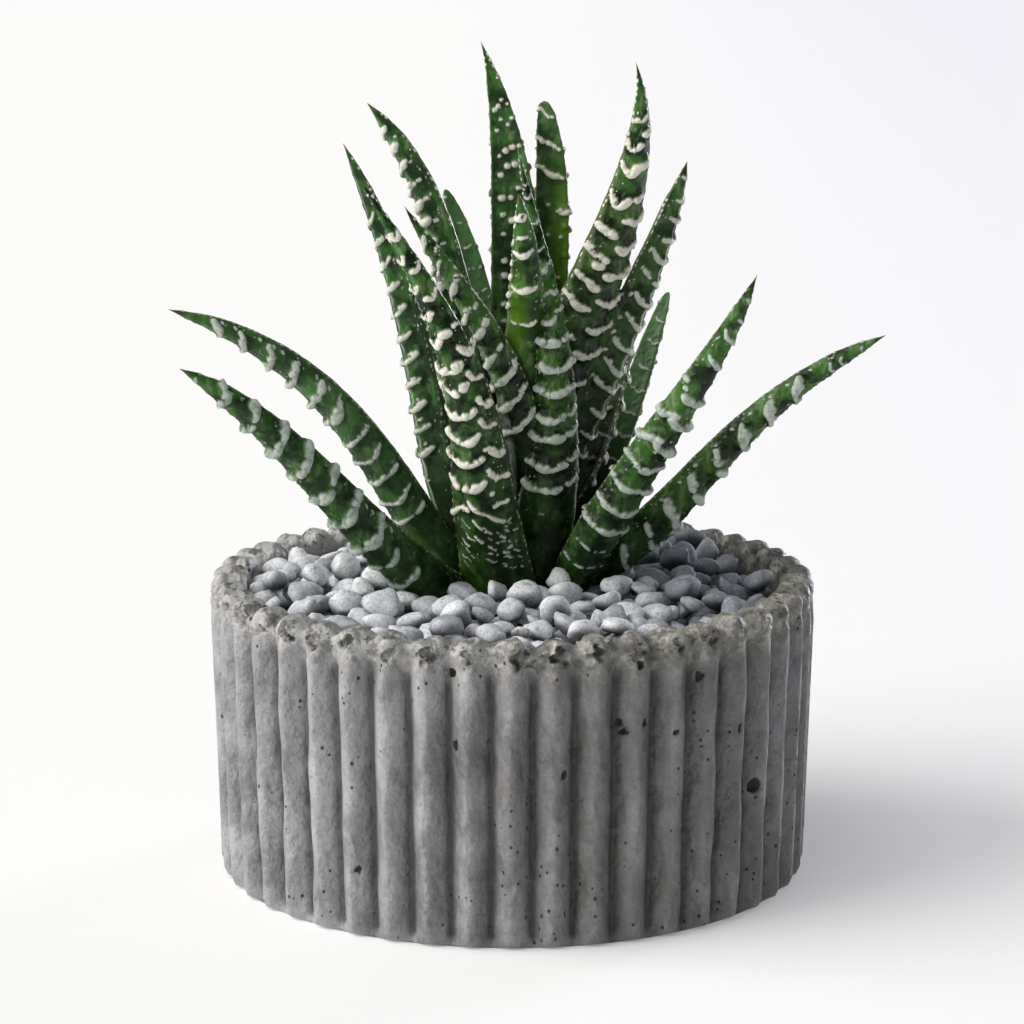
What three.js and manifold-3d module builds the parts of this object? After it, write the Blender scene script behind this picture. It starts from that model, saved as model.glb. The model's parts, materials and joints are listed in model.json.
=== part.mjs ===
// A zebra-striped haworthia in a small fluted concrete pot.
// Millimetres, +Z up. The origin is the centre of the pot's underside and the front faces -Y.
import * as THREE from "three";
import { mergeVertices } from "three/addons/utils/BufferGeometryUtils.js";
import Module from "manifold-3d";

const wasm = await Module();
wasm.setup();

// ---------------------------------------------------------------- driving dimensions

const GAP = 0.3; // clearance between neighbouring pieces

const POT = {
  radius: 38.1, // 76.2 mm across the ribs
  height: 38.1,
  footRadius: 37.1, // the wall tapers towards the foot
  footChamfer: 1.4,
  innerRadius: 33.3,
  floor: 4,
  ribs: 46,
  ribSwell: [0, 0.78, 1, 0.78], // one rib: valley, shoulder, crest, shoulder
  ribDepth: 1.1,
  notchDepth: 1.5, // dip between the rounded rib ends on the rim
  rimRound: 1.9,
  lipWidth: 0.6, // the rim's inner edge, sloping down to the inner wall
  lipDepth: 2.6,
};

const SOIL_TOP = 30;
const FILL_RADIUS = POT.innerRadius - GAP; // soil and gravel fill the pot to here

const STEM = {
  profile: [ // radius, height
    [2.4, 24],
    [3.7, 26.5],
    [4.1, 31],
    [4.0, 38],
    [2.9, 43],
    [1.4, 46.5],
  ],
  sides: 12,
};

const GRAVEL = {
  seed: 20,
  count: 104,
  bedTop: 35.8,
  rise: [0.2, 0.6], // height of a pebble's centre above the bed, as a share of its half-height
  holeRadius: 8.5, // the bed is open around the leaf bases
  innerRadius: 9.5, // pebbles lie between this radius and the pot wall
  halfLength: [2.5, 3.8],
  settleSteps: 30,
};

const RELIEF = 0.4; // height of the white cross bands above the leaf
const BAND_PITCH = 4.2; // distance between bands along a leaf
const FIRST_BAND = 0.35; // where the first band starts, in band pitches from the base
const BAND_PROFILE = [[0, 0], [0.25, 1], [1.15, 0.85]]; // distance from a band's lower edge, share of RELIEF
const BANDED_SHARE = 0.92; // share of a leaf's length that carries bands
const TIP_SHARE = 0.978; // the last section before the point
const NECK_LENGTH = 0.3; // share of a leaf's length over which its base widens
const SECTION = [ // half-width and outward depth of a leaf section, as shares
  [-1, 0],
  [-0.5, 0.88],
  [0.5, 0.88],
  [1, 0],
  [0, 0.1],
];
const SEAT = 0.4; // share of a leaf's half-width that its section is set back from the guide curve
const ROOM_STEPS = 10; // sections in the space that a leaf needs
// How far each point of a leaf's section moves out for its clearance, as a share of that clearance.
const ROOM = { margin: 1.3, outer: 1.2, edge: -0.5, inner: -1.3 };

// Each leaf follows a curve through four guide points, from its base on the stem to its tip.
// width: across the blade; full, taper: shape of the outline, from slender to full;
// face: compass angle that the outer face looks to, counted from +X; dip: how far it looks down;
// neck: width at the base as a share of the leaf's own.
const LEAVES = [
  { base: [-3.5, -2.5, 34.5], low: [-15.5, -13, 37.5], high: [-23, -20, 58.5], tip: [-39, -26, 68],
    width: 6.4, full: 1.4, taper: 0.55, face: -85, dip: 0.1, neck: 0.75 },
  { base: [-4, -1, 36], low: [-16.5, -6, 45], high: [-16, -9, 65], tip: [-41.5, -13, 73],
    width: 5.6, full: 1.9, taper: 0.7, face: -98, dip: 0.1, neck: 0.75 },
  { base: [4.5, -1.5, 35], low: [23, -7, 44.5], high: [22.5, -11, 58.5], tip: [45, -14, 70],
    width: 5.7, full: 1.1, taper: 0.53, face: -80, dip: 0, neck: 0.75 },
  { base: [6.2, -4.5, 35], low: [13.5, -12, 52.5], high: [24.5, -19, 66.5], tip: [28.8, -23, 78.7],
    width: 6.2, full: 1.3, taper: 0.65, face: -85, dip: 0, neck: 0.85 },
  { base: [-1.5, -6.5, 35], low: [-6.8, -13, 62], high: [-0.8, -16, 61], tip: [-18, -19, 89.5],
    width: 10, full: 1.15, taper: 1.05, face: -105, dip: 0, neck: 0.95 },
  { base: [3, -4.5, 37.5], low: [7, -10, 64], high: [5.5, -12, 70], tip: [0.5, -7, 92.5],
    width: 9.4, full: 1, taper: 1.1, face: -88, dip: 0, neck: 0.8 },
  { base: [-3.5, -0.5, 38.5], low: [-12.8, -4, 46], high: [-7.6, -5, 64], tip: [-20.5, -6, 92.3],
    width: 5.2, full: 2.2, taper: 0.65, face: -130, dip: 0, neck: 0.7 },
  { base: [0.5, -3, 44], low: [4.5, -10, 63], high: [-6.5, -12, 74], tip: [-13, -12, 85.5],
    width: 6.2, full: 1.5, taper: 0.8, face: -120, dip: 0, neck: 0.55 },
  { base: [0.5, -1, 46], low: [0.7, -4, 60], high: [2.8, -13, 74], tip: [0.8, -16, 87.3],
    width: 6.2, full: 1.8, taper: 0.6, face: -95, dip: 0, neck: 0.5 },
  { base: [2, 0, 44], low: [1.3, -1, 60], high: [20, -6, 86.5], tip: [14.7, -10, 102.7],
    width: 9.2, full: 2.3, taper: 1.05, face: -62, dip: 0, neck: 0.45 },
  { base: [3, 0, 42], low: [8.5, -1, 57.5], high: [18, -1, 74.5], tip: [21.5, -1, 89.5],
    width: 7.1, full: 1.9, taper: 0.57, face: -45, dip: 0, neck: 0.5 },
  { base: [-1.5, 1, 44], low: [-8, 0, 62.5], high: [-5, 1, 81.5], tip: [-17.8, 1, 96.4],
    width: 5.7, full: 2.2, taper: 0.5, face: -130, dip: 0, neck: 0.5 },
  { base: [0, 1.5, 46], low: [1.5, 3, 62], high: [1.5, 4, 91], tip: [-4, 4, 104],
    width: 7.7, full: 2.9, taper: 1.1, face: 95, dip: 0, neck: 0.45 },
  { base: [2, 2, 45], low: [3, 5, 62], high: [7, 6, 80], tip: [4, 7, 96],
    width: 4.7, full: 4, taper: 0.4, face: 80, dip: 0, neck: 0.5 },
  { base: [-1.5, 2.5, 43], low: [-2, 8, 56], high: [-3.5, 12, 72], tip: [-8.5, 15, 84],
    width: 5.2, full: 1.7, taper: 0.5, face: 110, dip: 0, neck: 0.5 },
  { base: [-3, 2, 40], low: [-3.5, 6, 51], high: [-8, 9, 61.5], tip: [-13, 12, 70.5],
    width: 5.5, full: 1.8, taper: 0.7, face: 135, dip: 0, neck: 0.5 },
  { base: [4.5, 2, 39], low: [13.6, 7, 48.5], high: [15, 11, 57.5], tip: [20, 14, 71],
    width: 4, full: 1.9, taper: 0.45, face: 60, dip: 0, neck: 0.6 },
  { base: [3.5, 2, 42], low: [13, 5, 51], high: [13.5, 7, 64], tip: [17, 8, 76],
    width: 6, full: 1.8, taper: 0.7, face: 30, dip: 0, neck: 0.5 },
  { base: [-1, 4, 37], low: [-2, 12, 50], high: [-3, 22, 60], tip: [-5, 33, 65],
    width: 6.4, full: 1.6, taper: 0.65, face: 100, dip: 0.2, neck: 0.6 },
  { base: [2.5, 3.5, 41], low: [5, 10, 56], high: [8, 18, 68], tip: [11, 26, 76],
    width: 6, full: 1.6, taper: 0.65, face: 65, dip: 0, neck: 0.5 },
  { base: [-3.5, 3, 37.5], low: [-8, 9, 50], high: [-9, 18, 60], tip: [-11, 27, 65],
    width: 6, full: 1.6, taper: 0.65, face: 125, dip: 0.1, neck: 0.6 },
  { base: [4.5, 3, 37], low: [10, 9, 47], high: [13, 17, 56], tip: [17, 26, 60],
    width: 6, full: 1.6, taper: 0.65, face: 45, dip: 0.2, neck: 0.6 },
  { base: [0.5, 3, 44], low: [1.5, 7, 60], high: [2, 12, 75], tip: [3, 18, 84],
    width: 6.5, full: 1.6, taper: 0.65, face: 88, dip: 0, neck: 0.5 },
];

// ---------------------------------------------------------------- helpers

/** A geometry from rings of points, each ring closed, with a fan at both ends. */
function skin(rings, start, end) {
  const count = rings[0].length;
  const points = [...rings.flat(), start, end];
  const last = rings.length - 1;
  const triangles = [];
  for (let ring = 0; ring < last; ring++) {
    for (let side = 0; side < count; side++) {
      const a = ring * count + side;
      const b = ring * count + ((side + 1) % count);
      triangles.push(a, b, b + count, a, b + count, a + count);
    }
  }
  for (let side = 0; side < count; side++) {
    const next = (side + 1) % count;
    triangles.push(points.length - 2, next, side);
    triangles.push(points.length - 1, last * count + side, last * count + next);
  }
  const geometry = new THREE.BufferGeometry();
  geometry.setAttribute("position", new THREE.Float32BufferAttribute(points.flatMap((p) => p.toArray()), 3));
  geometry.setIndex(triangles);
  return geometry;
}

/** The geometry as a solid that can be joined and cut. */
function toSolid(geometry) {
  const bare = geometry.clone();
  bare.deleteAttribute("normal");
  bare.deleteAttribute("uv");
  const merged = mergeVertices(bare, 1e-4);
  return new wasm.Manifold(new wasm.Mesh({
    numProp: 3,
    vertProperties: new Float32Array(merged.attributes.position.array),
    triVerts: new Uint32Array(merged.index.array),
  }));
}

/** The largest body of a solid, as a geometry with flat faces. */
function toGeometry(solid) {
  const bodies = solid.decompose().sort((a, b) => b.volume() - a.volume());
  const mesh = bodies[0].getMesh();
  const geometry = new THREE.BufferGeometry();
  geometry.setAttribute("position", new THREE.BufferAttribute(new Float32Array(mesh.vertProperties), 3));
  geometry.setIndex(new THREE.BufferAttribute(new Uint32Array(mesh.triVerts), 1));
  geometry.computeVertexNormals();
  return geometry;
}

/** A repeatable stream of numbers from 0 to 1. */
function randomStream(seed) {
  let state = seed >>> 0;
  return () => {
    state = (Math.imul(state, 1664525) + 1013904223) >>> 0;
    return state / 4294967296;
  };
}

const polar = (radius, angle, z) =>
  new THREE.Vector3(radius * Math.cos(angle), radius * Math.sin(angle), z);

// ---------------------------------------------------------------- pot

/** Fluted wall whose ribs end in a ring of rounded lobes on the rim. */
function potGeometry() {
  const steps = POT.ribSwell.length;
  const count = POT.ribs * steps;
  const front = -Math.PI / 2 - Math.PI / POT.ribs; // puts a crest at the very front
  const ring = (radius, z, depth, notch) =>
    Array.from({ length: count }, (_, i) => {
      const rise = POT.ribSwell[i % steps];
      const angle = front + (i * 2 * Math.PI) / count;
      return polar(radius - depth * (1 - rise), angle, z - notch * (1 - rise));
    });
  const { radius, height, footRadius, footChamfer, rimRound, ribDepth, notchDepth } = POT;
  const inner = POT.innerRadius;
  const rings = [
    ring(footRadius - footChamfer, 0, 0, 0),
    ring(footRadius, footChamfer, ribDepth, 0),
    ring(radius, height - rimRound * 0.8, ribDepth, notchDepth * 0.6),
    ring(radius - rimRound * 0.35, height - rimRound * 0.1, ribDepth, notchDepth * 0.9),
    ring(inner + POT.lipWidth, height, 0, notchDepth),
    ring(inner, height - POT.lipDepth, 0, 0),
    ring(inner, POT.floor, 0, 0),
  ];
  return skin(rings, new THREE.Vector3(0, 0, 0), new THREE.Vector3(0, 0, POT.floor));
}

// ---------------------------------------------------------------- stem and soil

/** The stem swollen by a margin on every side. */
function stemGeometry(margin) {
  const profile = STEM.profile.map(([radius, z]) => new THREE.Vector2(radius + margin, z));
  profile[0].y -= margin;
  profile.at(-1).y += margin;
  profile.unshift(new THREE.Vector2(0, profile[0].y));
  profile.push(new THREE.Vector2(0, profile.at(-1).y));
  return new THREE.LatheGeometry(profile, STEM.sides).rotateX(Math.PI / 2);
}

/** A disc of soil on the pot's floor, which the root crown is sunk into. */
function soilGeometry() {
  const profile = [
    new THREE.Vector2(0, POT.floor),
    new THREE.Vector2(FILL_RADIUS, POT.floor),
    new THREE.Vector2(FILL_RADIUS, SOIL_TOP),
    new THREE.Vector2(0, SOIL_TOP),
  ];
  const disc = toSolid(new THREE.LatheGeometry(profile, 36).rotateX(Math.PI / 2));
  return toGeometry(disc.subtract(toSolid(stemGeometry(GAP))));
}

// ---------------------------------------------------------------- leaves

/** Centre, directions and size of a leaf at a share of its length. */
function leafStation(leaf, curve, share) {
  const centre = curve.getPointAt(share);
  const along = curve.getTangentAt(share);
  const face = THREE.MathUtils.degToRad(leaf.face);
  const outward = new THREE.Vector3(Math.cos(face), Math.sin(face), -leaf.dip);
  outward.addScaledVector(along, -outward.dot(along)).normalize();
  const across = new THREE.Vector3().crossVectors(along, outward);
  const spread = THREE.MathUtils.smoothstep(share, 0, NECK_LENGTH);
  const outline = Math.pow(1 - Math.pow(share, leaf.full), leaf.taper);
  const width = leaf.width * outline * THREE.MathUtils.lerp(leaf.neck, 1, spread);
  return { centre, outward, across, width };
}

const leafCurve = (leaf) => new THREE.CubicBezierCurve3(
  ...[leaf.base, leaf.low, leaf.high, leaf.tip].map((point) => new THREE.Vector3(...point)),
);

/** One closed section of the leaf, whose outer face stands a little proud at a band. */
function leafRing(leaf, curve, share, relief) {
  const { centre, outward, across, width } = leafStation(leaf, curve, share);
  return SECTION.map(([x, y], index) => {
    const swell = index === SECTION.length - 1 ? 0 : relief * (0.3 + 0.7 * y);
    return centre.clone()
      .addScaledVector(across, x * (width / 2 + relief))
      .addScaledVector(outward, ((y - SEAT) * width) / 2 + swell);
  });
}

/** A section that clears the leaf's own by a margin on every side. */
function roomRing(leaf, curve, share, margin) {
  const { centre, outward, across, width } = leafStation(leaf, curve, share);
  return SECTION.map(([x, y], index) => {
    const inner = index === SECTION.length - 1 ? ROOM.inner : ROOM.edge;
    const swell = margin * (y > 0.5 ? ROOM.outer : inner);
    return centre.clone()
      .addScaledVector(across, (x * width) / 2 + Math.sign(x) * margin * ROOM.margin)
      .addScaledVector(outward, ((y - SEAT) * width) / 2 + swell);
  });
}

/** A leaf with raised cross bands: each has a sharp lower edge and fades towards the tip. */
function bandedLeaf(leaf) {
  const curve = leafCurve(leaf);
  const length = curve.getLength();
  const bands = Math.floor((length * BANDED_SHARE) / BAND_PITCH);
  const rings = [];
  for (let band = 0; band < bands; band++) {
    const start = (band + FIRST_BAND) * BAND_PITCH;
    for (const [offset, height] of BAND_PROFILE) {
      const share = (start + offset) / length;
      const { width } = leafStation(leaf, curve, share);
      rings.push(leafRing(leaf, curve, share, height * RELIEF * Math.min(1, width / 4)));
    }
  }
  rings.unshift(leafRing(leaf, curve, 0, 0));
  rings.push(leafRing(leaf, curve, TIP_SHARE, 0));
  return skin(rings, curve.getPoint(0), curve.getPoint(1));
}

/** The space that a leaf needs in its neighbours. */
function leafRoom(leaf) {
  const curve = leafCurve(leaf);
  const rings = Array.from({ length: ROOM_STEPS }, (_, i) =>
    roomRing(leaf, curve, i / ROOM_STEPS, RELIEF + GAP));
  const lead = curve.getTangent(0).multiplyScalar(-GAP);
  const tail = curve.getTangent(1).multiplyScalar(GAP);
  return skin(rings, curve.getPoint(0).add(lead), curve.getPoint(1).add(tail));
}

// ---------------------------------------------------------------- gravel

/** Plan-view circles that the pebbles keep out of: the leaves near the gravel's surface. */
function leafFootprints() {
  const circles = [];
  for (const leaf of LEAVES) {
    const curve = leafCurve(leaf);
    for (let share = 0; share <= 0.4; share += 0.05) {
      const { centre, width } = leafStation(leaf, curve, share);
      if (centre.z < POT.height + 2) {
        circles.push({ x: centre.x, y: centre.y, radius: width * 0.42 });
      }
    }
  }
  return circles;
}

/** Pebbles spread over the ring of gravel and pushed apart until they lie side by side. */
function layPebbles() {
  const random = randomStream(GRAVEL.seed);
  const between = (low, high) => low + (high - low) * random();
  const { count, innerRadius } = GRAVEL;
  const golden = Math.PI * (3 - Math.sqrt(5));
  const pebbles = [];
  for (let i = 0; i < count; i++) {
    const spread = (FILL_RADIUS ** 2 - innerRadius ** 2) * ((i + 0.5) / count);
    const radius = Math.sqrt(innerRadius ** 2 + spread);
    const a = between(...GRAVEL.halfLength);
    pebbles.push({
      x: radius * Math.cos(i * golden),
      y: radius * Math.sin(i * golden),
      a,
      b: a * between(0.62, 0.85),
      c: a * between(0.52, 0.7),
      rise: between(...GRAVEL.rise),
      turn: between(0, Math.PI),
      tilt: between(-0.35, 0.35),
    });
  }
  const footprints = leafFootprints();
  const reach = (pebble) => 0.5 * (pebble.a + pebble.b);
  for (let step = 0; step < GRAVEL.settleSteps; step++) {
    for (let i = 0; i < count; i++) {
      for (let j = i + 1; j < count; j++) {
        const first = pebbles[i];
        const second = pebbles[j];
        const dx = second.x - first.x;
        const dy = second.y - first.y;
        const distance = Math.hypot(dx, dy) + 1e-6;
        const push = 0.25 * Math.max(0, 1.02 * (reach(first) + reach(second)) - distance) / distance;
        first.x -= dx * push;
        first.y -= dy * push;
        second.x += dx * push;
        second.y += dy * push;
      }
    }
    for (const pebble of pebbles) {
      for (const circle of footprints) {
        const dx = pebble.x - circle.x;
        const dy = pebble.y - circle.y;
        const distance = Math.hypot(dx, dy) + 1e-6;
        const push = Math.max(0, circle.radius + 0.7 * pebble.b - distance) / distance;
        pebble.x += dx * push;
        pebble.y += dy * push;
      }
      const radius = Math.hypot(pebble.x, pebble.y);
      const limit = FILL_RADIUS - 0.5 * (pebble.a + pebble.b);
      if (radius > limit) {
        pebble.x *= limit / radius;
        pebble.y *= limit / radius;
      }
    }
  }
  return pebbles;
}

/** The gravel as one body: a ring with pebbles sunk into its top, open around the plant. */
function gravelGeometry(rooms) {
  const profile = [
    new THREE.Vector2(GRAVEL.holeRadius, SOIL_TOP),
    new THREE.Vector2(FILL_RADIUS, SOIL_TOP),
    new THREE.Vector2(FILL_RADIUS, GRAVEL.bedTop),
    new THREE.Vector2(GRAVEL.holeRadius, GRAVEL.bedTop),
    new THREE.Vector2(GRAVEL.holeRadius, SOIL_TOP),
  ];
  let bed = toSolid(new THREE.LatheGeometry(profile, 36).rotateX(Math.PI / 2));
  const cup = toSolid(new THREE.CylinderGeometry(FILL_RADIUS, FILL_RADIUS, 20, 36)
    .rotateX(Math.PI / 2).translate(0, 0, SOIL_TOP + 10));
  for (const pebble of layPebbles()) {
    const height = GRAVEL.bedTop + pebble.rise * pebble.c;
    const stone = new THREE.IcosahedronGeometry(1, 0).scale(pebble.a, pebble.b, pebble.c)
      .rotateY(pebble.tilt).rotateZ(pebble.turn).translate(pebble.x, pebble.y, height);
    bed = bed.add(toSolid(stone));
  }
  bed = bed.intersect(cup);
  for (const room of rooms) {
    bed = bed.subtract(room);
  }
  return toGeometry(bed);
}

// ---------------------------------------------------------------- materials and assembly

const paint = (color, roughness) =>
  new THREE.MeshStandardMaterial({ color, roughness, metalness: 0, flatShading: true });
const CONCRETE = paint(0x8f8f8c, 0.9);
const EARTH = paint(0x4a3a2c, 1);
const PEBBLE = paint(0xaab0b8, 0.75);
const BARK = paint(0x6d6a45, 0.8);
const GREEN = paint(0x47703f, 0.5);

const plant = new THREE.Group();

function place(name, geometry, material) {
  const mesh = new THREE.Mesh(geometry, material);
  mesh.name = name;
  plant.add(mesh);
}

place("pot", potGeometry(), CONCRETE);
place("soil", soilGeometry(), EARTH);
place("stem", toGeometry(toSolid(stemGeometry(0))), BARK);

const stemRoom = toSolid(stemGeometry(GAP));
const rooms = [stemRoom];
LEAVES.forEach((leaf, index) => {
  // Leaves are listed from the outside in: each gives way to those that it grows behind.
  let blade = toSolid(bandedLeaf(leaf));
  for (const room of rooms) {
    blade = blade.subtract(room);
  }
  place(`leaf_${String(index + 1).padStart(2, "0")}`, toGeometry(blade), GREEN);
  rooms.push(toSolid(leafRoom(leaf)));
});
place("gravel", gravelGeometry(rooms), PEBBLE);

export default plant;
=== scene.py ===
"""Looks for a small zebra haworthia in a fluted concrete pot: finer pieces over the packed solids."""

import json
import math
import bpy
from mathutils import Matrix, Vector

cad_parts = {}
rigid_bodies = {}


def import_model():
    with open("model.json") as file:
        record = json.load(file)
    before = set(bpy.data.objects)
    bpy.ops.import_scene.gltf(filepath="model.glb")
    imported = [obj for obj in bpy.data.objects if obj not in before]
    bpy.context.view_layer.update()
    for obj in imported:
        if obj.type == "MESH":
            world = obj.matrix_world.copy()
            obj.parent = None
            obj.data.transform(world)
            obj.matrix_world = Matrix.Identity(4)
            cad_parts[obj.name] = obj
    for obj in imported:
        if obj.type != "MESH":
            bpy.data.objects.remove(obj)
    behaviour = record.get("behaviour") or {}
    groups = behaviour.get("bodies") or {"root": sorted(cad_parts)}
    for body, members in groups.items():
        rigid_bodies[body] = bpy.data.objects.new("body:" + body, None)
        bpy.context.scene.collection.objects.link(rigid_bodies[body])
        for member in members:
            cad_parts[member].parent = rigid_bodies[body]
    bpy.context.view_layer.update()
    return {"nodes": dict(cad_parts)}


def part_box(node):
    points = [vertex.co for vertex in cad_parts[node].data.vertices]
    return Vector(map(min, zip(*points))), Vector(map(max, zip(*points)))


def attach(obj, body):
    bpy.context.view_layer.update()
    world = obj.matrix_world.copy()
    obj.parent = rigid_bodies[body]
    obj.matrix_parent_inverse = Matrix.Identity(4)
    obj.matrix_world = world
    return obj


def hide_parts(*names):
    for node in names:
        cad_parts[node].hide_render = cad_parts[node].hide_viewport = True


bl_info = {
    "name": "Potted Haworthia",
    "version": (1, 0, 0),
    "blender": (4, 5, 0),
    "location": "View3D > Sidebar > Haworthia",
    "description": "Builds a white-banded haworthia in a fluted concrete pot topped with pebbles",
    "category": "Object",
}

from functools import partial
from typing import NamedTuple

import bpy
import numpy as np
from bpy.props import FloatProperty, FloatVectorProperty, IntProperty, PointerProperty
from mathutils import Vector

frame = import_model()

MM = 0.001
POT_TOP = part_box("pot")[1]
GRAVEL_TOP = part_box("gravel")[1]

# ---------------------------------------------------------------- the leaves


class Row(NamedTuple):
    """Wax bands that repeat along a leaf. Distances are in mm, places across run from -1 to 1."""

    first: float
    pitch: float
    count: int
    start: float
    end: float
    slant: float = 0.0  # how much nearer the tip the band's end lies than its start
    hook: float = 0.4  # how far both ends curl towards the tip
    girth: float = 0.36  # half the thickness of the ridge
    bumps: float = 0.45  # length of the fused beads on the ridge's upper edge
    inner: bool = False  # on the face that looks to the middle of the rosette


class Leaf(NamedTuple):
    """One leaf: a curve through four guide points, in mm, and the outline of its blade."""

    guide: tuple
    width: float  # where it is widest
    full: float  # the larger, the further up it stays wide
    taper: float  # the larger, the longer it narrows to its tip
    face: float  # degrees round the plant that its outer face looks to
    neck: float  # width at the base as a share of the widest
    dip: float = 0.0  # how far its outer face looks down
    olive: float = 0.0  # how brown the green is
    glow: float = 0.0  # how strongly the lime of the young flesh shows, painted brighter as light shining through it
    glow_at: float = 0.1  # share of the length where the painted lime glow is strongest
    pale: float = 0.0  # how light and soft the green is
    cool: float = 0.3  # how green and glassy the wax is, against cream
    shade: float = 0.0  # how dark the part is that its neighbours cover
    blunt: bool = False  # the point is worn or dried off
    keel: float = 0.3  # how sharply the outer face folds along its middle
    rows: tuple = ()


PLAIN_ROWS = (
    Row(9, 3.3, 13, -0.92, 0.92, 0.5, 0.5, 0.34),
)

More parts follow.
